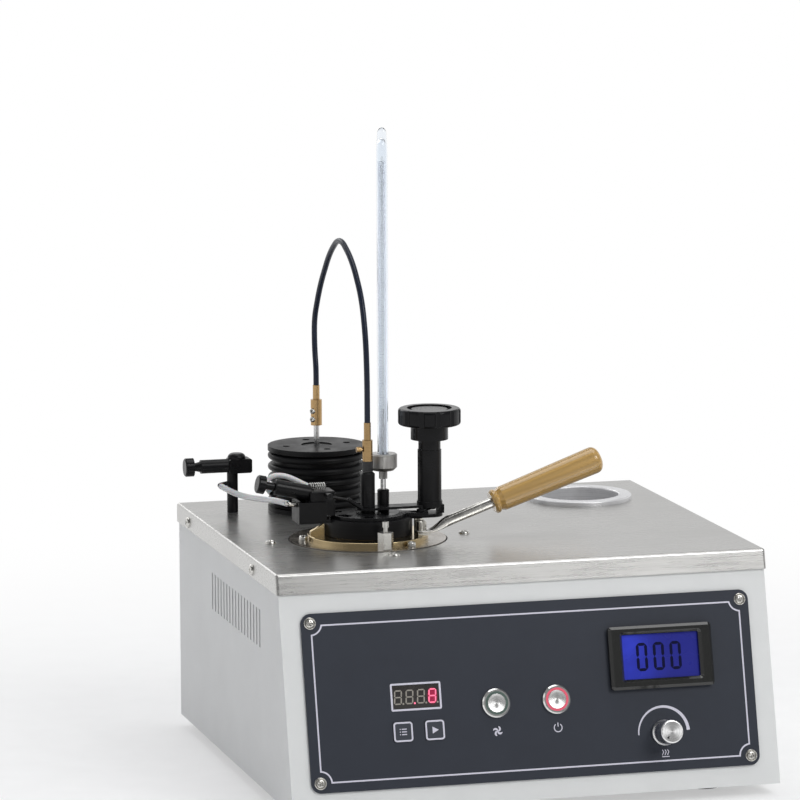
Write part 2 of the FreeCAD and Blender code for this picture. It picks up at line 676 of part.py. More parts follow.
class Drawing:
    """A sketch on one of its body's own planes, with every point tied to the sheet."""

    def __init__(self, body, role):
        self.sketch = body.newObject("Sketcher::SketchObject", "outline")
        self.sketch.AttachmentSupport = (plane_of(body, role), [""])
        self.sketch.MapMode = "FlatFace"

    def limit(self, constraint, value):
        index = self.sketch.addConstraint(constraint)
        if isinstance(value, Length):
            self.sketch.setExpression(f"Constraints[{index}]", value.text)

    def pin(self, edge, end, u, v):
        for kind, axis, value in (("DistanceX", -2, u), ("DistanceY", -1, v)):
            if not isinstance(value, Length) and value == 0:
                self.sketch.addConstraint(Sketcher.Constraint("PointOnObject", edge, end, axis))
            else:
                self.limit(Sketcher.Constraint(kind, -1, 1, edge, end, plain(value)), value)

    def circle(self, u, v, radius):
        centre = Vector(plain(u), plain(v), 0)
        edge = self.sketch.addGeometry(Part.Circle(centre, Z, plain(radius)))
        self.limit(Sketcher.Constraint("Radius", edge, plain(radius)), radius)
        self.pin(edge, 3, u, v)

    def loop(self, points):
        """A closed outline of (u, v) corners. A third item rounds the way to the next corner
        with an arc of that radius, and a fourth of -1 lets that arc turn right."""
        ends = []
        for index, point in enumerate(points):
            after = points[(index + 1) % len(points)]
            start = Vector(plain(point[0]), plain(point[1]), 0)
            stop = Vector(plain(after[0]), plain(after[1]), 0)
            if len(point) == 2:
                ends.append((self.sketch.addGeometry(Part.LineSegment(start, stop)), 1, 2))
                continue
            radius = plain(point[2])
            right = len(point) == 4
            if right:
                start, stop = stop, start
            way = stop - start
            rise = math.sqrt(max(radius * radius - way.Length * way.Length / 4, 0))
            centre = (start + stop) / 2 + Vector(-way.y, way.x, 0) * (rise / way.Length)
            first = math.atan2(start.y - centre.y, start.x - centre.x)
            last = math.atan2(stop.y - centre.y, stop.x - centre.x)
            arc = Part.ArcOfCircle(Part.Circle(centre, Z, radius), first, last)
            edge = self.sketch.addGeometry(arc)
            self.limit(Sketcher.Constraint("Radius", edge, radius), point[2])
            ends.append((edge, 2, 1) if right else (edge, 1, 2))
        for index, (edge, start_end, stop_end) in enumerate(ends):
            after = ends[(index + 1) % len(ends)]
            joint = Sketcher.Constraint("Coincident", edge, stop_end, after[0], after[1])
            self.sketch.addConstraint(joint)
            self.pin(edge, start_end, points[index][0], points[index][1])


def oblong(u, v, width, tall, corner):
    """A rounded rectangle about its centre, as a loop."""
    left = u - half(width)
    right = u + half(width)
    low = v - half(tall)
    high = v + half(tall)
    return [
        (left + corner, low),
        (right - corner, low, corner),
        (right, low + corner),
        (right, high - corner, corner),
        (right - corner, high),
        (left + corner, high, corner),
        (left, high - corner),
        (left, low + corner, corner),
    ]


def turned(label, outline):
    """A body turned about its own Z axis from an outline of (radius, height) corners."""
    body = doc.addObject("PartDesign::Body", label)
    drawing = Drawing(body, "XZ_Plane")
    drawing.loop(outline)
    spin = body.newObject("PartDesign::Revolution", "turning")
    spin.Profile = drawing.sketch
    spin.ReferenceAxis = (drawing.sketch, ["V_Axis"])
    spin.Angle = 360
    return body


def padded(label, depth, loops, circles=(), role="XY_Plane", middle=False):
    """A body padded from closed loops and circles; the first loop or circle is the outline."""
    body = doc.addObject("PartDesign::Body", label)
    drawing = Drawing(body, role)
    for points in loops:
        drawing.loop(points)
    for u, v, radius in circles:
        drawing.circle(u, v, radius)
    pad = body.newObject("PartDesign::Pad", "pad")
    pad.Profile = drawing.sketch
    bind(pad, Length=depth)
    if middle:
        pad.SideType = "Symmetric"
    return body


def edges_where(shape, test):
    return [f"Edge{index}" for index, edge in enumerate(shape.Edges, 1) if test(edge)]


def softened(body, kind, amount, test):
    """Adds a fillet or chamfer of one size on the edges that pass a test."""
    doc.recompute()
    base = body.Tip
    finish = body.newObject(f"PartDesign::{kind}", kind.lower())
    finish.Base = (base, edges_where(base.Shape, test))
    bind(finish, **{"Radius" if kind == "Fillet" else "Size": amount})
    body.Tip = finish
    return body


def at_height(level):
    """True for edges that lie flat at a height of the body."""
    return lambda edge: all(abs(corner.Z - plain(level)) < 1e-4 for corner in edge.Vertexes)


def repeated_cut(body, radius, depth, x, y, z, count):
    """A drilled hole repeated round the body's own Z axis."""
    doc.recompute()
    drill = body.newObject("PartDesign::SubtractiveCylinder", "drill")
    bind(drill, Radius=radius, Height=depth)
    put(drill, x, y, z)
    doc.recompute()
    ring = body.newObject("PartDesign::PolarPattern", "ring")
    ring.Originals = [drill]
    ring.Axis = (plane_of(body, "Z_Axis"), [""])
    ring.Angle = 360
    ring.Occurrences = count
    body.Tip = ring
    return body


def pan_screw(label, head, rise, shank, length):
    """A pan head screw standing on its seat at height zero."""
    crown = head * INNER_HOLE_SHARE
    return turned(label, [
        (0, -length),
        (shank, -length),
        (shank, 0),
        (head, 0),
        (head, rise / 2, rise),
        (crown, rise),
        (0, rise),
    ])


def rounded_path(points):
    """Straight runs joined by tangent arcs, each as large as its two runs allow."""
    runs = [(after - before) for before, after in zip(points, points[1:])]
    edges = []
    radii = []
    start = points[0]
    for index in range(1, len(points) - 1):
        into = runs[index - 1]
        out = runs[index]
        turn = into.getAngle(out)
        reach = 0.45 * min(into.Length, out.Length)
        radius = reach / math.tan(turn / 2)
        radii.append(radius)
        corner = points[index]
        into_way = Vector(into).normalize()
        out_way = Vector(out).normalize()
        enter = corner - into_way * reach
        leave = corner + out_way * reach
        inward = (out_way - into_way).normalize()
        centre = corner + inward * (radius / math.cos(turn / 2))
        halfway = centre - inward * radius
        edges.append(Part.LineSegment(start, enter).toShape())
        edges.append(Part.Arc(enter, halfway, leave).toShape())
        start = leave
    edges.append(Part.LineSegment(start, points[-1]).toShape())
    return Part.Wire(edges), radii


def tube_along(label, points, radius):
    """A solid tube of one radius along a rounded path."""
    path, radii = rounded_path(points)
    start = points[0]
    way = (points[1] - points[0]).normalize()
    ring = Part.Wire([Part.Circle(start, way, plain(radius)).toShape()])
    tube = path.makePipeShell([ring], True, False)
    if tube.Volume < 0:
        tube.reverse()
    expected = math.pi * plain(radius) ** 2 * path.Length
    ratio = tube.Volume / expected
    turns = [round(radius, 1) for radius in radii]
    print(f"{label}: length {path.Length:.1f}, radii {turns}, volume ratio {ratio:.4f}")
    thing = doc.addObject("Part::Feature", label)
    thing.Shape = tube
    return thing


# Case, plate and rear
def make_case_shell():
    wide = size.case_width - 2 * size.sheet
    inner = wide - 2 * size.sheet
    shift = size.sheet / slope_up
    top_front = front_top_y + size.sheet * size.front_lean / size.case_height + shift
    low_front = front_foot_y + shift
    back = rear_y - size.sheet
    outside = padded("case_outside", wide, [[
        (low_front, size.foot_height),
        (back, size.foot_height),
        (back, plate_under),
        (top_front - 2 * size.sheet * size.front_lean / size.case_height, plate_under),
    ]], role="YZ_Plane", middle=True)
    rise = size.cut_over + size.sheet
    lean = size.front_lean / size.case_height
    low = size.foot_height + size.sheet
    in_front = low_front + shift + size.sheet * lean
    inside = padded("case_inside", inner, [[
        (in_front, low),
        (back + size.cut_over, low),
        (back + size.cut_over, plate_under + rise),
        (in_front + (plate_under + rise - low) * lean, plate_under + rise),
    ]], role="YZ_Plane", middle=True)
    slots = []
    for index in range(VENT_COUNT):
        y = size.plate_shift + size.vent_back - index * size.vent_pitch - half(size.vent_width)
        z = size.foot_height + size.vent_base
        slots.append(block(size.case_width + size.cut_over, size.vent_width, size.vent_height,
                           -half(size.case_width) - half(size.cut_over), y, z))
    window_wide = panel_width - 2 * size.opening_margin
    window_tall = panel_tall - 2 * size.opening_margin
    window = padded("case_window", 4 * size.sheet, [
        oblong(0, panel_mid, window_wide, window_tall, size.panel_corner)], middle=True)
    on_front(window, 0, 0, -size.sheet - size.panel_sheet)
    corner_holes = []
    for side in (-1, 1):
        for level in (-1, 1):
            hole = rod(size.panel_screw_shank + size.hole_gap, 6 * size.sheet)
            v = panel_mid + level * panel_screw_v
            corner_holes.append(on_front(hole, side * panel_screw_x, v, -5 * size.sheet))
    flange_holes = []
    z = plate_top - size.flange_screw_drop
    for y in (-size.flange_screw_front, size.flange_screw_back):
        flange_holes.append(rod(size.case_screw_shank + size.hole_gap, size.case_width + size.cut_over,
                                -half(size.case_width) - half(size.cut_over), size.plate_shift + y, z, TO_RIGHT))
    shell = cut("case_shell", outside, [inside, window] + slots + corner_holes + flange_holes)
    node(shell, "case_shell")


def make_top_plate():
    lean = size.front_lean / size.case_height
    low = plate_top - size.flange_drop
    outside = padded("plate_outside", size.case_width, [[
        (front_top_y - size.flange_drop * lean, low),
        (rear_y, low),
        (rear_y, plate_top),
        (front_top_y, plate_top),
    ]], role="YZ_Plane", middle=True)
    softened(outside, "Fillet", size.plate_edge_round, lambda edge: edge.BoundBox.ZMax > plain(low) + 1)
    below = size.cut_over
    deep = size.flange_drop - size.sheet + below
    wall = size.sheet / slope_up
    in_front_top = front_top_y + wall - size.sheet * lean
    inside = padded("plate_inside", size.case_width - 2 * size.sheet, [[
        (in_front_top - deep * lean, plate_under - deep),
        (rear_y - size.sheet, plate_under - deep),
        (rear_y - size.sheet, plate_under),
        (in_front_top, plate_under),
    ]], role="YZ_Plane", middle=True)
    deep_cut = size.sheet + 2 * size.cut_over
    low_cut = plate_under - size.cut_over
    holes = [
        rod(size.plate_hole, deep_cut, size.cup_x, cup_y, low_cut),
        rod(size.well_ring_in + size.well_tube_wall + size.hole_gap, deep_cut,
            well_ring_x, well_ring_y, low_cut),
    ]
    for quarter in range(4):
        x = size.cup_x + size.plate_screw_ring * round(math.cos(quarter * math.pi / 2))
        y = cup_y + size.plate_screw_ring * round(math.sin(quarter * math.pi / 2))
        holes.append(rod(size.case_screw_shank + size.hole_gap, deep_cut, x, y, low_cut))
    z = plate_top - size.flange_screw_drop
    for y in (-size.flange_screw_front, size.flange_screw_back):
        holes.append(rod(size.case_screw_shank + size.hole_gap, size.case_width + size.cut_over,
                         -half(size.case_width) - half(size.cut_over), size.plate_shift + y, z, TO_RIGHT))
    node(cut("top_plate", outside, [inside] + holes), "top_plate")


def make_rear_panel():
    wide = size.case_width - 4 * size.sheet
    low = size.foot_height + size.sheet
    tall = plate_under - low
    y = rear_y - 2 * size.sheet
    wall = block(wide, size.sheet, tall, -half(wide), y, low)
    holes = [block(size.inlet_body_width + 2 * size.panel_gap, size.sheet + 2 * size.cut_over,
                   size.inlet_body_tall + 2 * size.panel_gap,
                   size.inlet_x - half(size.inlet_body_width) - size.panel_gap, y - size.cut_over,
                   size.foot_height + size.inlet_rise - half(size.inlet_body_tall) - size.panel_gap)]
    for index in range(REAR_VENT_COUNT):
        x = -size.inlet_x + index * 2 * size.vent_pitch
        holes.append(block(size.vent_width, size.sheet + 2 * size.cut_over, size.vent_height,
                           x, y - size.cut_over, size.foot_height + size.vent_base))
    node(cut("rear_panel", wall, holes), "rear_panel")


def make_feet():
    foot = turned("foot_master", [
        (0, 0),
        (size.foot_radius - size.foot_taper, 0),
        (size.foot_radius, size.foot_height),
        (0, size.foot_height),
    ])
    places = []
    for side in (-1, 1):
        for y in (front_foot_y + size.foot_inset, rear_y - size.foot_inset):
            corner = Vector(side * plain(size.foot_spread), plain(y), 0)
            places.append(FreeCAD.Placement(corner, UP))
    node(copies("feet", foot, places), "feet")


def make_case_screws():
    screw = pan_screw("case_screw_master", size.case_screw_head, size.case_screw_rise,
                      size.case_screw_shank, size.case_screw_length)
    places = []
    ring = plain(size.plate_screw_ring)
    for quarter in range(4):
        angle = quarter * math.pi / 2
        seat = Vector(plain(size.cup_x) + ring * math.cos(angle), plain(cup_y) + ring * math.sin(angle),
                      plain(plate_top))
        places.append(FreeCAD.Placement(seat, UP))
    z = plain(plate_top - size.flange_screw_drop)
    for y in (-size.flange_screw_front, size.flange_screw_back):
        for side, turn in ((-1, TO_LEFT), (1, TO_RIGHT)):
            seat = Vector(side * plain(size.case_width) / 2, plain(size.plate_shift + y), z)
            places.append(FreeCAD.Placement(seat, turn))
    node(copies("case_screws", screw, places), "case_screws")


def make_power_inlet():
    z = size.foot_height + size.inlet_rise
    face = rear_y - size.sheet + size.inlet_flange
    flange = padded("inlet_flange", size.inlet_flange, [
        oblong(0, 0, size.inlet_width, size.inlet_tall, size.inlet_flange)])
    put(flange, size.inlet_x, face, z, TO_FRONT)
    shell = block(size.inlet_body_width, size.inlet_depth, size.inlet_body_tall,
                  size.inlet_x - half(size.inlet_body_width), face - size.inlet_depth,
                  z - half(size.inlet_body_tall))
    mouth = block(size.inlet_mouth_width, size.inlet_mouth_depth + size.cut_over, size.inlet_mouth_tall,
                  size.inlet_x - half(size.inlet_mouth_width), face - size.inlet_mouth_depth,
                  z - half(size.inlet_mouth_tall))
    housing = cut("inlet_housing", together("inlet_solid", [flange, shell]), [mouth])
    pins = []
    for step, drop in ((-1, size.pin_drop), (0, -size.pin_drop), (1, size.pin_drop)):
        pins.append(block(size.pin_width, size.pin_length, size.pin_tall,
                          size.inlet_x + step * size.pin_spread - half(size.pin_width),
                          face - size.inlet_mouth_depth, z - drop - half(size.pin_tall)))
    node(grouped("power_inlet", [housing] + pins), "power_inlet")


# Control panel
def make_control_panel():
    left_key = oblong(key_left_x, key_v, size.key_side + 2 * size.panel_gap,
                      size.key_side + 2 * size.panel_gap, size.key_corner)
    right_key = oblong(key_right_x, key_v, size.key_side + 2 * size.panel_gap,
                       size.key_side + 2 * size.panel_gap, size.key_corner)
    display = oblong(display_x, display_v, size.display_width, size.display_tall, size.key_corner)
    neck = 2 * size.meter_neck - 2 * size.panel_gap
    meter = oblong(meter_x, meter_v, size.meter_width - neck, size.meter_tall - neck,
                   size.meter_corner)
    circles = [
        (fan_button_x, button_v, size.barrel_radius + size.panel_gap),
        (power_button_x, button_v, size.barrel_radius + size.panel_gap),
        (knob_x, knob_v, size.pot_bushing + size.panel_gap),
    ]
    for side in (-1, 1):
        for level in (-1, 1):
            circles.append((side * panel_screw_x, panel_mid + level * panel_screw_v,
                            size.panel_screw_shank + size.hole_gap))
    outline = oblong(0, panel_mid, panel_width, panel_tall, size.panel_corner)
    panel = padded("control_panel", size.panel_sheet, [outline, display, left_key, right_key, meter], circles)
    on_front(panel, 0, 0, -size.panel_sheet)
    node(panel, "control_panel")


def make_panel_screws():
    head = size.panel_screw_head
    rise = size.cup_washer_rise
    length = 2.5 * size.panel_sheet + size.sheet
    screw = turned("panel_screw_master", [
        (0, -length),
        (size.panel_screw_shank, -length),
        (size.panel_screw_shank, 0),
        (size.cup_washer, 0),
        (head, rise),
        (head, rise / 2),
        (head - rise / 2, rise / 2),
        (head - rise, rise),
        (0, rise),
    ])
    places = []
    for side in (-1, 1):
        for level in (-1, 1):
            v = plain(panel_mid + level * panel_screw_v)
            seat = Vector(side * plain(panel_screw_x),
                          plain(front_foot_y) + v * plain(slope_back),
                          plain(size.foot_height) + v * plain(slope_up))
            places.append(FreeCAD.Placement(seat, FRONT))
    node(copies("panel_screws", screw, places), "panel_screws")


def make_display():
    lens = padded("display_lens", size.panel_sheet - size.display_sink, [
        oblong(display_x, display_v, size.display_width - 2 * size.panel_gap,
               size.display_tall - 2 * size.panel_gap, size.key_corner)])
    on_front(lens, 0, 0, -size.panel_sheet)
    module = padded("display_module", size.board_depth - size.panel_sheet, [
        oblong(display_x, display_v, size.display_width + size.display_rim,
               size.display_tall + size.display_rim, size.key_corner)])
    on_front(module, 0, 0, -size.board_depth)
    node(together("led_display", [lens, module]), "led_display")


def make_board():
    board = padded("board_sheet", size.board_sheet, [
        oblong(display_x, board_v, size.board_width, size.board_tall, size.key_corner)])
    on_front(board, 0, 0, -size.board_depth - size.board_sheet)
    pieces = [board]
    reach = size.board_depth - size.panel_sheet
    for side in (-1, 1):
        for level in (-1, 1):
            post = rod(size.standoff_radius, reach)
            x = display_x + side * (half(size.board_width) - size.standoff_inset)
            v = board_v + level * (half(size.board_tall) - size.standoff_inset)
            pieces.append(on_front(post, x, v, -size.board_depth))
    node(together("control_board", pieces), "control_board")


def make_key(label, x):
    tall = size.board_depth - size.key_travel + size.key_rise
    key = padded(label, tall, [
        oblong(x, key_v, size.key_side, size.key_side, size.key_corner)])
    softened(key, "Chamfer", size.key_travel, at_height(tall))
    on_front(key, 0, 0, -size.board_depth + size.key_travel)
    node(key, label)


def make_buttons():
    bore = size.cap_radius + size.cap_gap
    floor = size.button_stem + size.button_travel + size.key_travel
    back = size.panel_sheet + size.sheet
    bezel = turned("bezel_master", [
        (0, -size.barrel_length),
        (size.barrel_radius, -size.barrel_length),
        (size.barrel_radius, -back - size.nut_tall),
        (size.nut_radius, -back - size.nut_tall),
        (size.nut_radius, -size.panel_sheet),
        (size.barrel_radius, -size.panel_sheet),
        (size.barrel_radius, 0),
        (size.bezel_radius, 0),
        (size.bezel_radius, size.bezel_rise - size.bezel_chamfer),
        (size.bezel_radius - size.bezel_chamfer, size.bezel_rise),
        (bore, size.bezel_rise),
        (bore, -floor),
        (0, -floor),
    ])
    places = []
    v = plain(button_v)
    for x in (fan_button_x, power_button_x):
        seat = Vector(plain(x), plain(front_foot_y) + v * plain(slope_back),
                      plain(size.foot_height) + v * plain(slope_up))
        places.append(FreeCAD.Placement(seat, FRONT))
    node(copies("button_bezels", bezel, places), "button_bezels")
    for label, x in (("fan_button_cap", fan_button_x), ("power_button_cap", power_button_x)):
        rim = size.cap_rise - size.cap_dish
        edge = size.cap_radius - size.cap_dish
        cap = turned(label, [
            (0, -size.button_stem),
            (size.cap_radius, -size.button_stem),
            (size.cap_radius, rim),
            (edge, size.cap_rise),
            (edge - size.cap_dish, size.cap_rise),
            (edge - 2 * size.cap_dish, rim),
            (0, rim),
        ])
        on_front(cap, x, button_v)
        node(cap, label)


def make_meter():
    bezel = padded("meter_bezel", size.meter_rise, [
        oblong(meter_x, meter_v, size.meter_width, size.meter_tall, size.meter_corner)])
    softened(bezel, "Chamfer", size.meter_chamfer, at_height(size.meter_rise))
    on_front(bezel, 0, 0, 0)
    glass_v = meter_v + size.glass_mid
    through = padded("meter_window", size.meter_rise + 2 * size.cut_over, [
        oblong(meter_x, glass_v, size.glass_width, size.glass_tall, size.key_corner)])
    on_front(through, 0, 0, -size.cut_over)
    slope_cut = padded("meter_slope", size.meter_chamfer + size.cut_over, [
        oblong(meter_x, glass_v, size.glass_width + 2 * size.meter_chamfer,
               size.glass_tall + 2 * size.meter_chamfer, size.key_corner + size.meter_chamfer)])
    softened(slope_cut, "Chamfer", size.meter_chamfer, at_height(0))
    on_front(slope_cut, 0, 0, size.meter_rise - size.meter_chamfer)
    node(cut("meter_bezel_cut", bezel, [through, slope_cut]), "meter_bezel")
    neck = 2 * size.meter_neck
    body = padded("meter_body", size.meter_body, [
        oblong(meter_x, meter_v, size.meter_width - neck, size.meter_tall - neck, size.meter_corner)])
    on_front(body, 0, 0, -size.meter_body)
    glass = padded("meter_glass", size.glass_rise, [
        oblong(meter_x, glass_v, size.glass_width - 2 * size.panel_gap,
               size.glass_tall - 2 * size.panel_gap, size.key_corner)])
    on_front(glass, 0, 0, 0)
    node(together("meter_lcd", [body, glass]), "meter_lcd")


def make_heat_knob():
    top = size.knob_length
    bore = size.pot_shaft + size.run_gap
    knob = turned("heat_knob", [
        (bore, size.knob_lift),
        (size.knob_collar, size.knob_lift),
        (size.knob_collar, size.knob_collar_tall),
        (size.knob_radius, size.knob_collar_tall + size.knob_round),
        (size.knob_radius, top - size.knob_round, size.knob_round),
        (size.knob_radius - size.knob_round, top),
        (0, top),
        (0, size.knob_bore_depth),
        (bore, size.knob_bore_depth),
    ])
    on_front(knob, knob_x, knob_v)
    node(knob, "heat_knob")
    pot = turned("potentiometer", [
        (0, -size.panel_sheet - size.pot_depth),
        (size.pot_body, -size.panel_sheet - size.pot_depth),
        (size.pot_body, -size.panel_sheet),
        (size.pot_bushing, -size.panel_sheet),
        (size.pot_bushing, 0),
        (size.pot_shaft, 0),
        (size.pot_shaft, size.knob_bore_depth - size.knob_lift),
        (0, size.knob_bore_depth - size.knob_lift),
    ])
    on_front(pot, knob_x, knob_v)
    node(pot, "potentiometer")


# Heating bath
def make_bath():
    seat = size.disc_proud - size.disc_thick
    ledge = size.disc_radius - size.disc_ledge
    wall_in = size.bath_radius - size.bath_wall
    floor = size.bath_floor - size.bath_depth
    well_out = size.well_radius + size.well_wall
    under = -size.sheet
    bath = turned("stove_shell", [
        (0, -size.bath_depth),
        (size.bath_radius, -size.bath_depth),
        (size.bath_radius, under - size.bath_flange_tall),
        (size.bath_flange, under - size.bath_flange_tall),
        (size.bath_flange, under),
        (size.plate_hole, under),
        (size.plate_hole, seat),
        (ledge, seat),
        (ledge, seat - size.ledge_tall),
        (wall_in, seat - size.ledge_tall - size.bath_wall),
        (wall_in, floor),
        (well_out, floor),
        (well_out, seat),
        (size.well_radius, seat),
        (size.well_radius, floor),
        (0, floor),
    ])
    hole = size.case_screw_shank + size.hole_gap
    repeated_cut(bath, hole, size.bath_flange_tall + 2 * size.cut_over, size.plate_screw_ring, 0,
                 under - size.bath_flange_tall - size.cut_over, 4)
    put(bath, size.cup_x, cup_y, plate_top)
    node(bath, "stove_shell")
    disc = turned("heater_plate", [
        (size.well_radius, seat),
        (size.disc_radius, seat),
        (size.disc_radius, size.disc_proud),
        (size.well_radius, size.disc_proud),
    ])
    x = size.disc_screw_ring * cosine(size.disc_screw_turn)
    y = size.disc_screw_ring * sine(size.disc_screw_turn)
    deep = size.disc_screw_length + size.hole_gap
    repeated_cut(disc, size.disc_screw_shank + size.hole_gap, deep + size.cut_over, x, y,
                 size.disc_proud - deep, 3)
    put(disc, size.cup_x, cup_y, plate_top)
    node(disc, "heater_plate")
    screw = pan_screw("disc_screw_master", size.disc_screw_head, size.disc_screw_rise,
                      size.disc_screw_shank, size.disc_screw_length)
    places = []
    for third in range(3):
        angle = math.radians(plain(size.disc_screw_turn) + third * 120)
        ring = plain(size.disc_screw_ring)
        seat_at = Vector(plain(size.cup_x) + ring * math.cos(angle), plain(cup_y) + ring * math.sin(angle),
                         plain(plate_top + size.disc_proud))
        places.append(FreeCAD.Placement(seat_at, UP))
    node(copies("disc_screws", screw, places), "disc_screws")


def make_locating_post():
    corner = size.post_flats / math.sqrt(3)
    prism = doc.addObject("Part::Prism", "post_hexagon")
    prism.Polygon = 6
    bind(prism, Circumradius=corner, Height=size.post_tall)
    x, y, z = above_cup(0, -size.post_offset, size.disc_proud)
    put(prism, x, y, z)
    stud = rod(size.stud_radius, size.stud_rise, x, y, z + size.post_tall)
    head_z = z + size.post_tall + size.stud_rise
    head = rod(size.stud_head, size.stud_head_tall, x, y, head_z)
    slot = block(3 * size.stud_head, size.stud_slot, size.stud_head_tall,
                 x - 1.5 * size.stud_head, y - half(size.stud_slot), head_z + 0.7 * size.stud_head_tall)
    node(cut("locating_post", together("post_solid", [prism, stud, head]), [slot]), "locating_post")


# Cup with its handle
def make_cup():
    low = size.cup_bore + size.cup_wall_low
    rim = size.cup_bore + size.cup_wall_rim
    seat = size.disc_proud
    floor = size.cup_rim_rise - size.cup_depth
    edge = size.cup_edge_round
    top = seat + size.cup_flange_tall
    cup = turned("cup_turning", [
        (0, floor - size.cup_floor),
        (low - size.cup_corner, floor - size.cup_floor, size.cup_corner),
        (low, floor - size.cup_floor + size.cup_corner),
        (low, seat),
        (size.cup_flange, seat),
        (size.cup_flange, top - edge, edge),
        (size.cup_flange - edge, top),
        (rim, top),
        (rim, size.cup_rim_rise),
        (size.cup_bore, size.cup_rim_rise),
        (size.cup_bore, floor + size.cup_corner, size.cup_corner, -1),
        (size.cup_bore - size.cup_corner, floor),
        (0, floor),
    ])
    lug = padded("cup_lug", size.lug_thick, [[
        (-size.lug_out, top - half(edge)),
        (-size.lug_in, top - half(edge)),
        (-size.lug_in, size.lug_rise_in),
        (-size.lug_out, size.lug_rise_out),
    ]], role="XZ_Plane", middle=True)
    for thing in (cup, lug):
        put(thing, size.cup_x, cup_y, plate_top)
    clamp = rod(size.clamp_shank + size.hole_gap, size.cup_flange_tall + size.cut_over,
                *above_cup(size.clamp_x, -size.handle_y, seat + half(size.cup_flange_tall)))
    node(cut("cup", together("cup_solid", [cup, lug]), [clamp]), "cup")


def make_handle():
    flange_top = size.disc_proud + size.cup_flange_tall
    wide = size.bracket_far - size.bracket_near
    x, y, z = above_cup(size.bracket_near, -size.bracket_front, flange_top)
    leg = block(wide, size.bracket_front - size.bracket_back, size.bracket_sheet, x, y, z)
    top = size.bracket_top - flange_top
    upright = padded("bracket_upright", size.bracket_sheet, [[
        (size.bracket_near, flange_top),
        (size.bracket_far, flange_top),
        (size.bracket_far, size.bracket_top - size.bracket_chamfer),
        (size.bracket_far - size.bracket_chamfer, size.bracket_top),
        (size.bracket_near, size.bracket_top),
    ]], role="XZ_Plane")
    put(upright, size.cup_x, cup_y - size.bracket_back, plate_top)
    hole = rod(size.clamp_shank + size.hole_gap, top,
               *above_cup(size.clamp_x, -size.handle_y, flange_top - size.cut_over))
    bracket = together("bracket_solid", [leg, upright])
    node(cut("handle_bracket", bracket, [hole]), "handle_bracket")
    tang_z = flange_top + size.bracket_sheet
    sink = half(size.cup_flange_tall)
    shank = size.tang_tall + size.bracket_sheet + sink
    head = size.clamp_radius
    screw = turned("clamp_screw", [
        (0, -shank),
        (size.clamp_shank, -shank),
        (size.clamp_shank, 0),
        (head, 0),
        (head, size.clamp_tall - size.cup_edge_round),
        (head - size.cup_edge_round, size.clamp_tall),
        (0, size.clamp_tall),
    ])
    put(screw, *above_cup(size.clamp_x, -size.handle_y, tang_z + size.tang_tall))
    node(screw, "clamp_screw")
    tang_near = size.clamp_x - half(size.tang_width)
    tang_x, tang_y, tang_low = above_cup(tang_near, -size.handle_y - half(size.tang_width), tang_z)
    tang = block(size.tang_end - tang_near, size.tang_width, size.tang_tall, tang_x, tang_y, tang_low)
    along = Rotation(Y, 90 - plain(size.handle_rise_angle))
    run = cosine(size.handle_rise_angle)
    climb = sine(size.handle_rise_angle)
    bore = size.tube_radius
    grip_at = above_cup(size.tube_start_x + size.grip_start * run, -size.handle_y,
                        size.tube_start_z + size.grip_start * climb)
    tube = rod(size.tube_radius, size.tube_length - size.tube_bare,
               *above_cup(size.tube_start_x + size.tube_bare * run, -size.handle_y,
                          size.tube_start_z + size.tube_bare * climb), along)
    tang_hole = rod(size.clamp_shank + size.hole_gap, size.clamp_tall,
                    *above_cup(size.clamp_x, -size.handle_y, tang_z - size.cut_over))
    node(cut("handle_tube", together("handle_solid", [tang, tube]), [tang_hole]), "handle_tube")
    nose = size.grip_nose
    end = size.grip_length
    reach = size.tube_length - size.grip_start
    grip = turned("wooden_grip", [
        (bore, 0),
        (size.grip_neck, 0),
        (size.grip_small, size.grip_bead / 3),
        (size.grip_small, 2 * size.grip_bead / 3),
        (size.grip_neck, size.grip_bead),
        (size.grip_small, 1.6 * size.grip_bead),
        (size.grip_large, end - nose, nose),
        (size.grip_large - nose, end),
        (0, end),
        (0, reach),
        (bore, reach),
    ])
    put(grip, *grip_at, along)
    node(grip, "wooden_grip")


# Lid with the shutter drive
def cover_top():
    return size.cup_rim_rise + size.lid_cover_tall


def make_lid_cover():
    low = size.cup_rim_rise
    high = cover_top()
    rim = turned("lid_turning", [
        (0, low),
        (size.lid_rim_in, low),
        (size.lid_rim_in, low - size.lid_skirt),
        (size.lid_rim_out, low - size.lid_skirt),
        (size.lid_rim_out, high),
        (0, high),
    ])
    put(rim, size.cup_x, cup_y, plate_top)
    right = block(size.tower_x, 2 * size.arm_half, size.lid_cover_tall, *above_cup(0, -size.arm_half, low))
    right_end = rod(size.arm_half, size.lid_cover_tall, *above_cup(size.tower_x, 0, low))
    left = block(size.left_arm, 2 * size.left_arm_half, size.lid_cover_tall,
                 *above_cup(-size.left_arm, -size.left_arm_half, low))
    boss = rod(size.rim_boss, size.lid_cover_tall + size.rim_boss_rise,
               *above_cup(size.rim_boss_x, size.rim_boss_y, low))
    inner = rod(size.lid_rim_in, size.lid_skirt, *above_cup(0, 0, low - size.lid_skirt))
    solid = together("lid_solid", [rim, right, right_end, left, boss])
    holes = [
        inner,
        rod(size.stirrer_radius + size.hole_gap, 3 * size.lid_cover_tall,
            *above_cup(0, 0, low - size.lid_cover_tall)),
        rod(size.stem_radius + size.hole_gap, 3 * size.lid_cover_tall,
            *above_cup(size.thermo_x, size.thermo_y, low - size.lid_cover_tall)),
    ]
    for turn, half_width in port_list():
        holes.append(sector(size.port_in, size.port_out, turn - half_width, 2 * half_width,
                            3 * size.lid_cover_tall, *above_cup(0, 0, low - size.lid_cover_tall)))
    node(cut("lid_cover", solid, holes), "lid_cover")


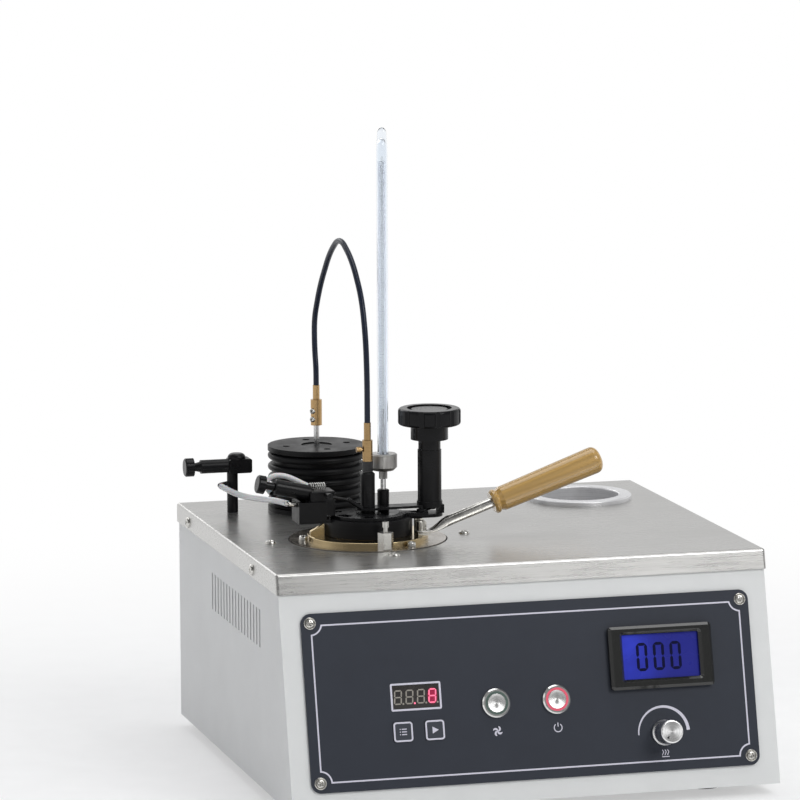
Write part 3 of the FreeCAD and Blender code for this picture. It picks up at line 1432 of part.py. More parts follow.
def port_list():
    return [
        (size.port_turn, size.port_half),
        (size.port_turn - size.port_spread, size.side_port_half),
        (size.port_turn + size.port_spread, size.side_port_half),
    ]


def shutter_low():
    return cover_top() + size.lid_layer_gap


def rest_angle():
    """Direction of the crank pin from the cup axis at rest, in degrees."""
    swing = math.radians(plain(size.knob_swing) / 2)
    reach = plain(size.crank_reach)
    x = plain(size.tower_x) - reach * math.cos(swing)
    return -math.degrees(math.atan2(reach * math.sin(swing), x))


def make_shutter():
    low = shutter_low()
    x, y, z = above_cup(0, 0, low)
    tall = size.shutter_tall
    middle = size.port_turn - size.shutter_turn
    fan_start = middle - size.shutter_fan_half + size.port_half
    fan = sector(size.shutter_hub - size.cut_over, size.shutter_radius, fan_start,
                 2 * size.shutter_fan_half, tall, x, y, z)
    hub = rod(size.shutter_hub, tall, x, y, z)
    tail_turn = rest_angle()
    fan_end = fan_start + 2 * size.shutter_fan_half
    arm = sector(size.shutter_arm_in, size.shutter_radius, fan_end - size.side_port_half,
                 tail_turn + plain(size.side_port_half) + plain(size.tail_half) - plain(fan_end) + 2,
                 tall, x, y, z)
    turn = Rotation(Z, tail_turn)
    tail_start = half(size.shutter_arm_in + size.shutter_radius)
    tail_cos = math.cos(math.radians(tail_turn))
    tail_sin = math.sin(math.radians(tail_turn))

    def place(near, side):
        return x + near * tail_cos - side * tail_sin, y + near * tail_sin + side * tail_cos

    tail = block(size.tail_end - tail_start, 2 * size.tail_half, tall,
                 *place(tail_start, -size.tail_half), z, turn)
    slot = block(size.slot_out - size.slot_in, 2 * size.slot_half, 3 * tall,
                 *place(size.slot_in, -size.slot_half), z - tall, turn)
    bore = rod(size.column_radius + 3 * size.hole_gap, 3 * tall, x, y, z - tall)
    cuts = [bore, slot]
    for port_turn, half_width in port_list():
        start = port_turn - size.shutter_turn - half_width
        cuts.append(sector(size.port_in, size.port_out, start, 2 * half_width, 3 * tall, x, y, z - tall))
    node(cut("shutter", together("shutter_solid", [fan, hub, arm, tail]), cuts), "shutter")


def crank_low():
    return shutter_low() + size.shutter_tall + size.lid_layer_gap


def bridge_low():
    return crank_low() + size.crank_tall + size.bridge_gap


def make_tower():
    low = bridge_low()
    high = low + size.bridge_tall
    bridge = padded("bridge_plate", size.bridge_tall, [[
        (0, -size.bridge_half),
        (size.bridge_end, -size.bridge_half),
        (size.bridge_end, size.bridge_half),
        (0, size.bridge_half),
    ]])
    put(bridge, *above_cup(0, 0, low))
    near_end = rod(size.sleeve_radius, size.bridge_tall, *above_cup(0, 0, low))
    far_end = rod(size.sleeve_foot, size.bridge_tall, *above_cup(size.tower_x, 0, low))
    spacer = block(size.bridge_end - size.spacer_near, 2 * size.bridge_half, low - cover_top(),
                   *above_cup(size.spacer_near, -size.bridge_half, cover_top()))
    sleeve = turned("tower_sleeve", [
        (0, high),
        (size.sleeve_foot, high),
        (size.sleeve_foot, high + size.sleeve_foot_tall),
        (size.sleeve_radius, high + size.sleeve_foot_tall),
        (size.sleeve_radius, size.sleeve_top),
        (0, size.sleeve_top),
    ])
    put(sleeve, *above_cup(size.tower_x, 0, 0))
    spindle = rod(size.spindle_radius + size.run_gap, size.sleeve_top,
                  *above_cup(size.tower_x, 0, low - size.cut_over))
    column = rod(size.column_radius + size.hole_gap, 3 * size.bridge_tall,
                 *above_cup(0, 0, low - size.bridge_tall))
    thermometer = rod(size.holder_radius + size.hole_gap, 3 * size.bridge_tall,
                      *above_cup(size.thermo_x, size.thermo_y, low - size.bridge_tall))
    solid = together("tower_solid", [bridge, near_end, far_end, spacer, sleeve])
    node(cut("shutter_tower", solid, [spindle, column, thermometer]), "shutter_tower")


def make_shutter_knob():
    top = size.star_top
    edge = size.star_round
    recess = top - size.star_recess
    knob = turned("knob_turning", [
        (0, crank_low()),
        (size.spindle_radius, crank_low()),
        (size.spindle_radius, size.sleeve_top + size.lid_layer_gap),
        (size.neck_radius, size.sleeve_top + size.lid_layer_gap),
        (size.neck_radius, size.neck_top),
        (size.hub_radius, size.neck_top),
        (size.hub_radius, size.hub_top),
        (size.star_radius - edge, size.hub_top, edge),
        (size.star_radius, size.hub_top + edge),
        (size.star_radius, top - edge, edge),
        (size.star_radius - edge, top),
        (size.star_ring, top),
        (size.star_ring, recess),
        (size.star_disc, recess),
        (size.star_disc, top - size.star_disc_sink),
        (0, top - size.star_disc_sink),
    ])
    out = size.star_radius + size.flute_radius - size.flute_depth
    repeated_cut(knob, size.flute_radius, top - size.hub_top + 2 * size.cut_over, out, 0,
                 size.hub_top - size.cut_over, int(plain(size.flute_count)))
    put(knob, *above_cup(size.tower_x, 0, 0))
    angle = 180 + plain(size.knob_swing) / 2
    turn = Rotation(Z, angle)
    cos_turn = math.cos(math.radians(angle))
    sin_turn = math.sin(math.radians(angle))
    x, y, z = above_cup(size.tower_x, 0, crank_low())
    crank = block(size.crank_reach, 2 * size.crank_half, size.crank_tall,
                  x + size.crank_half * sin_turn, y - size.crank_half * cos_turn, z, turn)
    pin_x = x + size.crank_reach * cos_turn
    pin_y = y + size.crank_reach * sin_turn
    crank_end = rod(size.crank_half, size.crank_tall, pin_x, pin_y, z)
    pin = rod(size.crank_pin, size.crank_tall + size.shutter_tall, pin_x, pin_y,
              z - size.shutter_tall + half(size.lid_layer_gap))
    crank_hub = rod(size.spindle_radius + size.cut_over, size.crank_tall, x, y, z)
    node(together("shutter_knob", [knob, crank, crank_end, pin, crank_hub]), "shutter_knob")


# Burner on the left arm
def stand_low():
    return cover_top()


def make_burner_stand():
    low = stand_low()
    long = size.stand_far - size.stand_near
    wide = 2 * size.left_arm_half
    base = block(long, wide, size.stand_base, *above_cup(-size.stand_far, -size.left_arm_half, low))
    wall = block(size.stand_wall, wide, size.stand_top - low,
                 *above_cup(-size.stand_far, -size.left_arm_half, low))
    pieces = [base, wall]
    for y in (-size.left_arm_half, size.left_arm_half - size.stand_sheet):
        pieces.append(block(long, size.stand_sheet, size.stand_top - low,
                            *above_cup(-size.stand_far, y, low)))
    node(together("burner_stand", pieces), "burner_stand")


def barrel_turn():
    return Rotation(Y, plain(size.barrel_tilt) - 90)


def barrel_point(along):
    """A place on the valve barrel's axis, from its right end."""
    return above_cup(-size.valve_axis_x - along * cosine(size.barrel_tilt), 0,
                     size.valve_axis_z + along * sine(size.barrel_tilt))


def make_lid_valve():
    low = stand_low() + size.stand_base
    body = padded("valve_block", size.valve_top - low, [
        oblong(-half(size.valve_far + size.valve_near), 0, size.valve_far - size.valve_near,
               2 * size.valve_half, size.valve_round)])
    softened(body, "Fillet", size.valve_round * INNER_HOLE_SHARE, at_height(size.valve_top - low))
    put(body, *above_cup(0, 0, low))
    start = -size.valve_barrel
    barrel = rod(size.valve_barrel, size.valve_barrel_length - start, *barrel_point(start), barrel_turn())
    spindle = rod(size.valve_neck + size.run_gap, size.valve_neck * 4,
                  *barrel_point(size.valve_barrel_length - 2 * size.valve_neck), barrel_turn())
    points = hose_points(LID_HOSE, cup_y)
    barrel_root = above_cup(size.barrel_root_x, size.barrel_root_y, size.barrel_root_z)
    block_root = above_cup(size.block_root_x, size.block_root_y, size.block_root_z)
    nipples = [
        nipple("barrel_nipple", points[0], points[1], barrel_root),
        nipple("block_nipple", points[-1], points[-2], block_root),
    ]
    sink = half(size.valve_half)
    pivot = rod(size.pivot_radius, size.flame_y - size.valve_half + half(size.pivot_hub) + sink,
                *above_cup(-size.pivot_x, -size.valve_half + sink, size.pivot_z), TO_FRONT)
    solid = together("valve_solid", [body, barrel, pivot] + nipples)
    node(cut("lid_valve_body", solid, [spindle]), "lid_valve_body")
    edge = size.valve_knob_round
    neck_start = -2 * size.valve_neck + size.run_gap
    far = size.valve_knob_off + size.valve_knob_tall
    knob = turned("lid_valve_knob", [
        (0, neck_start),
        (size.valve_neck, neck_start),
        (size.valve_neck, size.valve_knob_off),
        (size.valve_knob_radius, size.valve_knob_off),
        (size.valve_knob_radius, far - edge),
        (size.valve_knob_radius - edge, far),
        (0, far),
    ])
    put(knob, *barrel_point(size.valve_barrel_length), barrel_turn())
    node(knob, "lid_valve_knob")


def make_flame_tube():
    pivot_x, y, pivot_z = above_cup(-size.pivot_x, -size.flame_y, size.pivot_z)
    hub = rod(size.pivot_hub, size.pivot_hub, pivot_x, y + half(size.pivot_hub), pivot_z, TO_FRONT)
    pieces = [hub]
    bend = (plain(-size.flame_bend_x), plain(size.flame_bend_z))
    end = (plain(-size.flame_end_x), plain(size.flame_end_z))
    start = (plain(-size.pivot_x), plain(size.pivot_z))
    for near, far, radius in ((start, bend, size.flame_radius), (bend, end, size.flame_tip)):
        dx = far[0] - near[0]
        dz = far[1] - near[1]
        tilt = Rotation(Y, math.degrees(math.atan2(dx, dz)))
        pieces.append(rod(radius, math.hypot(dx, dz), *above_cup(near[0], -size.flame_y, near[1]), tilt))
    pieces.append(ball(size.flame_tip, *above_cup(bend[0], -size.flame_y, bend[1])))
    pivot = rod(size.pivot_radius + size.run_gap, 3 * size.pivot_hub,
                pivot_x, y + 1.5 * size.pivot_hub, pivot_z, TO_FRONT)
    node(cut("flame_tube", together("flame_solid", pieces), [pivot]), "flame_tube")


def make_return_spring():
    """Tension spring on the valve block: arcs of a quarter turn on a steady helix."""
    radius = plain(size.spring_radius)
    pitch = plain(size.spring_pitch)
    turns = int(plain(size.spring_turns))
    wire = plain(size.spring_wire)
    x, y, z = above_cup(-size.spring_far, 0, size.valve_top + size.spring_radius + size.spring_wire
                        + size.lid_layer_gap)
    origin = Vector(plain(x), plain(y), plain(z))

    def point(quarters):
        angle = quarters * math.pi / 2
        return origin + Vector(pitch * quarters / 4, radius * math.cos(angle), radius * math.sin(angle))

    edges = []
    for step in range(4 * turns):
        edges.append(Part.Arc(point(step), point(step + 0.5), point(step + 1)).toShape())
    path = Part.Wire(edges)
    start = edges[0].tangentAt(edges[0].FirstParameter)
    ring = Part.Wire([Part.Circle(point(0), start, wire).toShape()])
    coil = path.makePipeShell([ring], True, False)
    print(f"return_spring: least gap between turns {pitch - 2 * wire:.2f}")
    spring = doc.addObject("Part::Feature", "return_spring")
    spring.Shape = coil
    node(spring, "return_spring")


# Stirrer, thermometer and drive
def make_stirrer():
    low = cover_top()
    bore = size.stirrer_radius + size.run_gap
    column = turned("stirrer_column", [
        (bore, low),
        (size.column_radius, low),
        (size.column_radius, size.column_top - size.column_chamfer),
        (size.column_radius - size.column_chamfer, size.column_top),
        (bore, size.column_top),
    ])
    put(column, *above_cup(0, 0, 0))
    node(column, "stirrer_column")
    collar_low = size.column_top + size.collar_lift
    collar = turned("stirrer_collar", [
        (bore, collar_low),
        (size.collar_radius, collar_low),
        (size.collar_radius, size.collar_top),
        (bore, size.collar_top),
    ])
    put(collar, *above_cup(0, 0, 0))
    node(collar, "stirrer_collar")
    grip = 2 * size.stirrer_radius
    shaft_top = size.collar_top + grip
    coupling = turned("coupling_turning", [
        (bore, size.collar_top),
        (size.coupling_radius, size.collar_top),
        (size.coupling_radius, size.coupling_top),
        (size.coupling_sleeve, size.coupling_top),
        (size.coupling_sleeve, size.coupling_end),
        (0, size.coupling_end),
        (0, shaft_top + size.run_gap),
        (bore, shaft_top + size.run_gap),
    ])
    put(coupling, *above_cup(0, 0, 0))
    thumb = rod(half(size.thumb_radius), size.thumb_reach, *above_cup(0, 0, size.thumb_rise), TO_LEFT)
    thumb_head = rod(size.thumb_radius, size.thumb_reach - size.coupling_radius - size.thumb_radius / 2,
                     *above_cup(-size.coupling_radius - size.thumb_radius / 2, 0, size.thumb_rise), TO_LEFT)
    coupling_all = together("coupling_all", [coupling, thumb, thumb_head])
    hollow = rod(bore, grip + size.run_gap, *above_cup(0, 0, size.collar_top))
    node(cut("stirrer_coupling", coupling_all, [hollow]), "stirrer_coupling")
    shaft = rod(size.stirrer_radius, shaft_top - size.paddle_low + half(size.paddle_hub_tall),
                *above_cup(0, 0, size.paddle_low - half(size.paddle_hub_tall)))
    pieces = [shaft]
    for level, reach, wide in ((size.paddle_low, size.paddle_low_reach, size.paddle_width),
                               (size.paddle_high, size.paddle_high_reach, size.paddle_high_width)):
        pieces.append(rod(size.paddle_hub, size.paddle_hub_tall,
                          *above_cup(0, 0, level - half(size.paddle_hub_tall))))
        for side in (-1, 1):
            blade = padded("paddle", reach, [[
                (-half(size.paddle_sheet), -half(wide)),
                (half(size.paddle_sheet), -half(wide)),
                (half(size.paddle_sheet), half(wide)),
                (-half(size.paddle_sheet), half(wide)),
            ]], role="YZ_Plane")
            tilt = Rotation(Z, 90 - 90 * side) * Rotation(X, 45)
            put(blade, *above_cup(0, 0, level), tilt)
            pieces.append(blade)
    node(together("stirrer_shaft", pieces), "stirrer_shaft")


def make_thermometer():
    bore = size.stem_radius + size.hole_gap
    place = above_cup(size.thermo_x, size.thermo_y, 0)
    holder = turned("thermometer_holder", [
        (bore, cover_top()),
        (size.holder_radius, cover_top()),
        (size.holder_radius, size.holder_top - size.cup_edge_round),
        (size.holder_radius - size.cup_edge_round, size.holder_top),
        (bore, size.holder_top),
    ])
    stem = turned("thermometer_stem", [
        (0, size.stem_low),
        (half(size.bulb_radius), size.stem_low),
        (size.stem_radius, size.stem_low + half(size.bulb_radius)),
        (size.stem_radius, size.ferrule_low),
        (0, size.ferrule_low),
    ])
    nut_bore = size.stem_radius
    ferrule = turned("thermometer_ferrule", [
        (nut_bore, size.ferrule_nut_low),
        (size.ferrule_nut, size.ferrule_nut_low),
        (size.ferrule_nut, size.ferrule_low),
        (size.ferrule_radius - size.ferrule_taper, size.ferrule_low),
        (size.ferrule_radius, size.ferrule_low + size.ferrule_taper),
        (size.ferrule_radius, size.ferrule_top - size.cup_edge_round),
        (size.ferrule_radius - size.cup_edge_round, size.ferrule_top),
        (size.glass_radius, size.ferrule_top),
        (size.glass_radius, size.ferrule_low + size.ferrule_taper),
        (0, size.ferrule_low + size.ferrule_taper),
        (0, size.ferrule_low),
        (nut_bore, size.ferrule_low),
    ])
    shoulder = size.glass_top - size.glass_radius
    crown = size.glass_radius * math.sqrt(0.5)
    glass = turned("thermometer", [
        (0, size.ferrule_low + size.ferrule_taper),
        (size.glass_radius, size.ferrule_low + size.ferrule_taper),
        (size.glass_radius, shoulder, size.glass_radius),
        (crown, shoulder + crown, size.glass_radius),
        (0, size.glass_top),
    ])
    for thing, label in ((holder, "thermometer_holder"), (stem, "thermometer_stem"),
                         (ferrule, "thermometer_ferrule"), (glass, "thermometer")):
        put(thing, *place)
        node(thing, label)


def make_motor():
    core = size.motor_core
    outer = size.motor_radius
    round_off = half(size.ring_thick)
    outline = [(0, 0), (outer, 0), (outer, size.motor_foot), (core, size.motor_foot)]
    for index in range(int(plain(size.ring_count))):
        low = size.ring_first + index * size.ring_pitch
        outline.append((core, low))
        outline.append((outer - round_off, low, round_off))
        outline.append((outer, low + round_off, round_off))
        outline.append((outer - round_off, low + size.ring_thick))
        outline.append((core, low + size.ring_thick))
    cap_low = size.motor_height - size.motor_cap
    bore = size.motor_shaft + size.run_gap
    outline += [
        (core, cap_low),
        (outer, cap_low),
        (outer, size.motor_height),
        (size.cap_recess, size.motor_height),
        (size.cap_recess, size.motor_height - size.cap_recess_depth),
        (bore, size.motor_height - size.cap_recess_depth),
        (bore, size.motor_shaft_low),
        (0, size.motor_shaft_low),
    ]
    housing = turned("motor_housing", outline)
    x = size.cap_hole_ring * cosine(size.cap_hole_turn)
    y = size.cap_hole_ring * sine(size.cap_hole_turn)
    repeated_cut(housing, size.cap_hole, size.motor_cap + size.cut_over, x, y, cap_low, 4)
    put(housing, size.motor_x, motor_y, plate_top)
    node(housing, "motor_housing")
    shaft = rod(size.motor_shaft, size.motor_shaft_top - size.motor_shaft_low,
                size.motor_x, motor_y, plate_top + size.motor_shaft_low)
    node(shaft, "motor_shaft")
    drive = turned("drive_turning", [
        (bore, size.drive_low),
        (size.drive_radius, size.drive_low),
        (size.drive_radius, size.drive_top),
        (size.coupling_sleeve, size.drive_top),
        (size.coupling_sleeve, size.drive_end),
        (0, size.drive_end),
        (0, size.motor_shaft_top + size.lid_layer_gap),
        (bore, size.motor_shaft_top + size.lid_layer_gap),
    ])
    put(drive, size.motor_x, motor_y, plate_top)
    angle = plain(size.set_screw_turn)
    turn = Rotation(Z, angle) * TO_RIGHT
    seat = bore + size.hole_gap
    cos_turn = math.cos(math.radians(angle))
    sin_turn = math.sin(math.radians(angle))
    screws = []
    holes = []
    for level in (size.set_screw_low, size.set_screw_high):
        place = (size.motor_x + seat * cos_turn, motor_y + seat * sin_turn, plate_top + level)
        screws.append(rod(size.set_screw, size.set_screw_reach - seat, *place, turn))
        holes.append(rod(size.set_screw, size.set_screw_reach, *place, turn))
    node(cut("motor_coupling", drive, holes), "motor_coupling")
    node(grouped("coupling_screws", screws), "coupling_screws")


# Cooling well
def make_cooling_well():
    ring_in = size.well_ring_in
    tube_out = ring_in + size.well_tube_wall
    edge = size.well_ring_round
    top = size.well_ring_tall
    ring = turned("cooling_ring", [
        (ring_in, -size.well_tube_depth),
        (tube_out, -size.well_tube_depth),
        (tube_out, 0),
        (size.well_ring_out, 0),
        (size.well_ring_out, top - edge, edge),
        (size.well_ring_out - edge, top),
        (ring_in + edge, top, edge),
        (ring_in, top - edge),
    ])
    put(ring, well_ring_x, well_ring_y, plate_top)
    node(ring, "cooling_ring")
    top_z = plate_top - size.well_tube_depth
    low_z = top_z - size.fan_depth
    frame = padded("fan_housing", size.fan_depth, [
        oblong(0, 0, size.fan_side, size.fan_side, size.fan_corner)], [(0, 0, size.fan_bore)])
    put(frame, well_ring_x, well_ring_y, low_z)
    pieces = [frame, rod(size.fan_hub, size.fan_base, well_ring_x, well_ring_y, low_z)]
    span = size.fan_side - size.fan_corner
    for wide, deep in ((span, size.fan_strut), (size.fan_strut, span)):
        pieces.append(block(wide, deep, size.fan_base, well_ring_x - half(wide),
                            well_ring_y - half(deep), low_z))
    pin = rod(size.fan_pin, size.fan_base + size.fan_lift + size.fan_hub_tall / 2,
              well_ring_x, well_ring_y, low_z)
    node(together("fan_frame", pieces + [pin]), "fan_frame")
    hub = turned("fan_hub", [
        (size.fan_pin + size.run_gap, 0),
        (size.fan_hub, 0),
        (size.fan_hub, size.fan_hub_tall),
        (0, size.fan_hub_tall),
        (0, size.fan_hub_tall / 2 + size.fan_lift),
        (size.fan_pin + size.run_gap, size.fan_hub_tall / 2 + size.fan_lift),
    ])
    rotor_z = low_z + size.fan_base + size.fan_lift
    put(hub, well_ring_x, well_ring_y, rotor_z)
    reach = size.fan_bore - size.fan_gap
    start = size.fan_hub - size.cut_over
    blades = [hub]
    count = int(plain(size.fan_blades))
    for index in range(count):
        blade = padded("fan_blade", reach - start, [[
            (-half(size.blade_chord), -half(size.blade_sheet)),
            (half(size.blade_chord), -half(size.blade_sheet)),
            (half(size.blade_chord), half(size.blade_sheet)),
            (-half(size.blade_chord), half(size.blade_sheet)),
        ]], role="YZ_Plane")
        angle = 360 * index / count
        cos_turn = math.cos(math.radians(angle))
        sin_turn = math.sin(math.radians(angle))
        tilt = Rotation(Z, angle) * Rotation(X, plain(size.blade_tilt))
        put(blade, well_ring_x + start * cos_turn, well_ring_y + start * sin_turn,
            rotor_z + half(size.fan_hub_tall), tilt)
        blades.append(blade)
    swept = rod(reach, 2 * size.fan_hub_tall, well_ring_x, well_ring_y, rotor_z - half(size.fan_hub_tall))
    rotor = doc.addObject("Part::Common", "fan_rotor")
    rotor.Base = together("fan_rotor_solid", blades)
    rotor.Tool = swept
    node(rotor, "fan_rotor")


# Gas valve on its post
def make_gas_valve():
    post = rod(size.valve_post_radius, size.valve_post_top, size.valve_x, valve_y, plate_top)
    node(post, "valve_post")
    low = plate_top + size.valve_post_top
    wide = size.valve_block_left + size.valve_block_right
    body = padded("t_block", 2 * size.valve_block_half, [
        oblong(half(size.valve_block_right - size.valve_block_left), half(size.valve_block_tall), wide,
               size.valve_block_tall, size.valve_block_round)], role="XZ_Plane", middle=True)
    put(body, size.valve_x, valve_y, low)
    axis_z = low + half(size.valve_block_tall)
    barrel = rod(size.t_barrel_radius, size.t_barrel_end, size.valve_x, valve_y, axis_z, TO_LEFT)
    neck = cone(size.t_barrel_radius - size.cut_over, size.t_neck_radius, size.t_neck_end - size.t_barrel_end,
                size.valve_x - size.t_barrel_end, valve_y, axis_z, TO_LEFT)
    crown = size.dome_radius * INNER_HOLE_SHARE
    dome = turned("dome_cap", [
        (0, -size.valve_block_round),
        (crown, -size.valve_block_round),
        (size.dome_radius, 0),
        (size.dome_radius, size.dome_rise / 3, size.dome_rise),
        (crown * INNER_HOLE_SHARE, size.dome_rise),
        (0, size.dome_rise),
    ])
    put(dome, size.valve_x + size.dome_x, valve_y, low + size.valve_block_tall)
    spindle = rod(size.t_spindle + size.run_gap, size.t_spindle_reach + size.cut_over,
                  size.valve_x - size.t_neck_end + size.t_spindle_reach, valve_y, axis_z, TO_LEFT)
    solid = together("t_solid", [body, barrel, neck, dome])
    node(cut("post_valve_body", solid, [spindle]), "post_valve_body")
    edge = size.valve_knob_round
    inner = size.t_neck_end - size.t_spindle_reach + size.run_gap
    knob = turned("post_valve_knob", [
        (0, inner),
        (size.t_spindle, inner),
        (size.t_spindle, size.t_knob_start),
        (size.t_knob_radius, size.t_knob_start),
        (size.t_knob_radius, size.t_knob_end - edge),
        (size.t_knob_radius - edge, size.t_knob_end),
        (0, size.t_knob_end),
    ])
    put(knob, size.valve_x, valve_y, axis_z, TO_LEFT)
    node(knob, "post_valve_knob")
    points = hose_points(GAS_HOSE, size.plate_shift)
    root = (size.gas_root_x, size.plate_shift + size.gas_root_y, plate_top + size.gas_root_z)
    pipe = nipple("post_nipple", points[0], points[1], root)
    trimmed = cut("post_nipple", pipe, [rod(size.valve_post_radius, 2 * size.valve_post_top,
                                            size.valve_x, valve_y, plate_top)])
    node(trimmed, "post_nipple")


# Hoses and the flexible shaft. Their points are chosen by hand: x, y from the middle of the top
# plate (or from the cup axis on the lid), and the height above the plate.
GAS_HOSE = [
    (-143.6, 88.0, 18.5),
    (-139.5, 75.0, 16.6),
    (-136.0, 62.8, 16.0),
    (-133.6, 49.0, 17.0),
    (-132.4, 35.3, 18.5),
    (-131.2, 15.0, 21.0),
    (-130.2, -3.5, 23.5),
    (-129.2, -18.2, 25.1),
    (-128.5, -33.5, 26.3),
]
LID_HOSE = [
    (-64.2, 3.5, 32.5),
    (-66.5, 6.0, 35.0),
    (-66.0, 8.5, 39.5),
    (-61.5, 9.0, 43.2),
    (-54.0, 9.0, 42.8),
    (-47.5, 8.3, 40.2),
    (-42.4, 6.6, 37.4),
    (-39.0, 5.4, 35.8),
]
FLEX_SHAFT = [
    (-3.7, 118.8, 84.5),
    (-3.7, 118.8, 95.5),
    (-3.5, 123.2, 110.0),
    (-3.4, 124.0, 129.0),
    (-3.0, 109.5, 153.0),
    (-2.4, 85.0, 178.5),
    (-1.8, 61.5, 191.5),
    (-1.0, 33.0, 179.5),
    (-0.4, 10.8, 156.5),
    (-0.1, 2.6, 131.0),
    (0.0, 0.0, 104.5),
    (0.0, 0.0, 76.5),
]


def hose_points(points, base_y):
    """Hand-chosen points set in the part's frame, from the plate's middle or the cup axis."""
    base_x = plain(size.cup_x) if base_y is cup_y else 0.0
    return [Vector(x + base_x, y + plain(base_y), z + plain(plate_top)) for x, y, z in points]


def nipple(label, end, inner, root):
    """A bent nipple from its root to a hose's end, in line with the hose's first run."""
    way = (inner - end).normalize()
    corner = end - way * plain(size.nipple_run)
    start = Vector(*[plain(value) for value in root])
    return tube_along(label, [start, corner, end], size.nipple_radius)


def make_hoses():
    gas = hose_points(GAS_HOSE, size.plate_shift)
    node(tube_along("gas_hose", gas, size.hose_radius), "gas_hose")
    lid = hose_points(LID_HOSE, cup_y)
    node(tube_along("lid_hose", lid, size.lid_hose_radius), "lid_hose")
    flex = hose_points(FLEX_SHAFT, cup_y)
    flex[0] = Vector(plain(size.motor_x), plain(motor_y), plain(plate_top + size.drive_end))
    flex[1] = Vector(flex[0].x, flex[0].y, flex[1].z)
    flex[-1] = Vector(plain(size.cup_x), plain(cup_y), plain(plate_top + size.coupling_end))
    flex[-2] = Vector(flex[-1].x, flex[-1].y, flex[-2].z)
    node(tube_along("flexible_shaft", flex, size.flex_radius), "flexible_shaft")
    way = (gas[-1] - gas[-2]).normalize()
    corner = gas[-1] + way * plain(size.nipple_run)
    face = above_cup(-size.stand_far, 0, 0)
    stop = Vector(plain(face[0]), corner.y + plain(size.nipple_radius), corner.z - plain(size.nipple_radius))
    elbow = tube_along("gas_inlet_elbow", [gas[-1], corner, stop], size.nipple_radius)
    stand = block(size.stand_wall, 2 * size.left_arm_half, size.stand_top,
                  *above_cup(-size.stand_far, -size.left_arm_half, 0))
    node(cut("gas_inlet_elbow", elbow, [stand]), "gas_inlet_elbow")


make_case_shell()
make_top_plate()
make_rear_panel()
make_feet()
make_case_screws()
make_power_inlet()
make_control_panel()
make_panel_screws()
make_display()
make_board()
make_key("key_left", key_left_x)
make_key("key_right", key_right_x)
make_buttons()
make_meter()
make_heat_knob()
make_bath()
make_locating_post()
make_cup()
make_handle()
make_lid_cover()
make_shutter()
make_tower()
make_shutter_knob()
make_burner_stand()
make_lid_valve()
make_flame_tube()
make_return_spring()
make_stirrer()
make_thermometer()
make_motor()
make_cooling_well()
make_gas_valve()
make_hoses()

doc.recompute()
for thing in doc.Objects:
    if "Invalid" in thing.State or "Error" in thing.State:
        raise RuntimeError(f"{thing.Label} did not build: {thing.State}")
for label, thing in nodes.items():
    shape = thing.Shape
    if shape.isNull() or not shape.isValid() or not shape.Solids:
        raise RuntimeError(f"{label} has no valid solid")
for label, thing in nodes.items():
    thing.Shape.exportStep(f"parts/{label}.step")
print(f"{len(nodes)} sub-parts written")
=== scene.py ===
import math
from collections import namedtuple

import bmesh
import bpy
import numpy as np
from bpy.props import FloatProperty, FloatVectorProperty, IntProperty, PointerProperty
from mathutils import Matrix, Vector


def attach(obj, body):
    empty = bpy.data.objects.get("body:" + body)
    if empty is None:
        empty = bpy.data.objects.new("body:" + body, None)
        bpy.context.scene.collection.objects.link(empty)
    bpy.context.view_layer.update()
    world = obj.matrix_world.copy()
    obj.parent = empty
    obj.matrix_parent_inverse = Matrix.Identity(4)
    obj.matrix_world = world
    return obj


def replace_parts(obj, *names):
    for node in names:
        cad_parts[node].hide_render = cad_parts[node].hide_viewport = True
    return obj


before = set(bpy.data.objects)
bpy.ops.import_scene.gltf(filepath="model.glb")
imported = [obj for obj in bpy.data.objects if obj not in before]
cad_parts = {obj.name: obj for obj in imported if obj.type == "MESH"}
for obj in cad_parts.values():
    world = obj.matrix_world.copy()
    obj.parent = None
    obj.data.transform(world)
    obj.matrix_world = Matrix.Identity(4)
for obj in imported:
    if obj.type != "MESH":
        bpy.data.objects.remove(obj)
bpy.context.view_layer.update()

# Looks of a bench-top closed-cup flash point tester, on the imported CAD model.
# Every length is in metres in the CAD frame. MM turns millimetres into metres.

bl_info = {
    "name": "Flash point tester looks",
    "version": (1, 0, 0),
    "blender": (4, 5, 0),
    "location": "View3D > Sidebar > Tester",
    "description": "Finishes, printed panel, displays, screws, thermometer and hoses of the tester",
    "category": "Add Mesh",
}

MM = 0.001

PLATE_TOP = 155 * MM
CUP_AXIS = (-73.4 * MM, -7.6 * MM)
MOTOR_AXIS = (-77.1 * MM, 111.2 * MM)
THERMO_AXIS = (-60.7 * MM, 0.3 * MM)
WELL_AXIS = (105.4 * MM, 102.2 * MM)

# The sloping front: its foot line, the way up the slope and the way out of the panel
FRONT_FOOT = np.array([0.0, -153.7, 8.0]) * MM
FRONT_UP = np.array([0.0, 0.24842, 0.96865])
FRONT_OUT = np.array([0.0, -0.96865, 0.24842])
# The turn that stands a pattern's Z along the way out of the panel
ON_FRONT = (math.acos(FRONT_OUT[2]), 0, 0)
ACROSS = np.array([1.0, 0.0, 0.0])
HANDLE_CLIMB = math.radians(19.6)

# Points nearer to each other than this are made one
WELD = 1e-7
# The least cosine that a line's width is mitred by, so that sharp bends grow no spikes
MITRE_LEAST = 0.35

NICKEL = (0.66, 0.65, 0.62)
STEEL = (0.6, 0.6, 0.6)

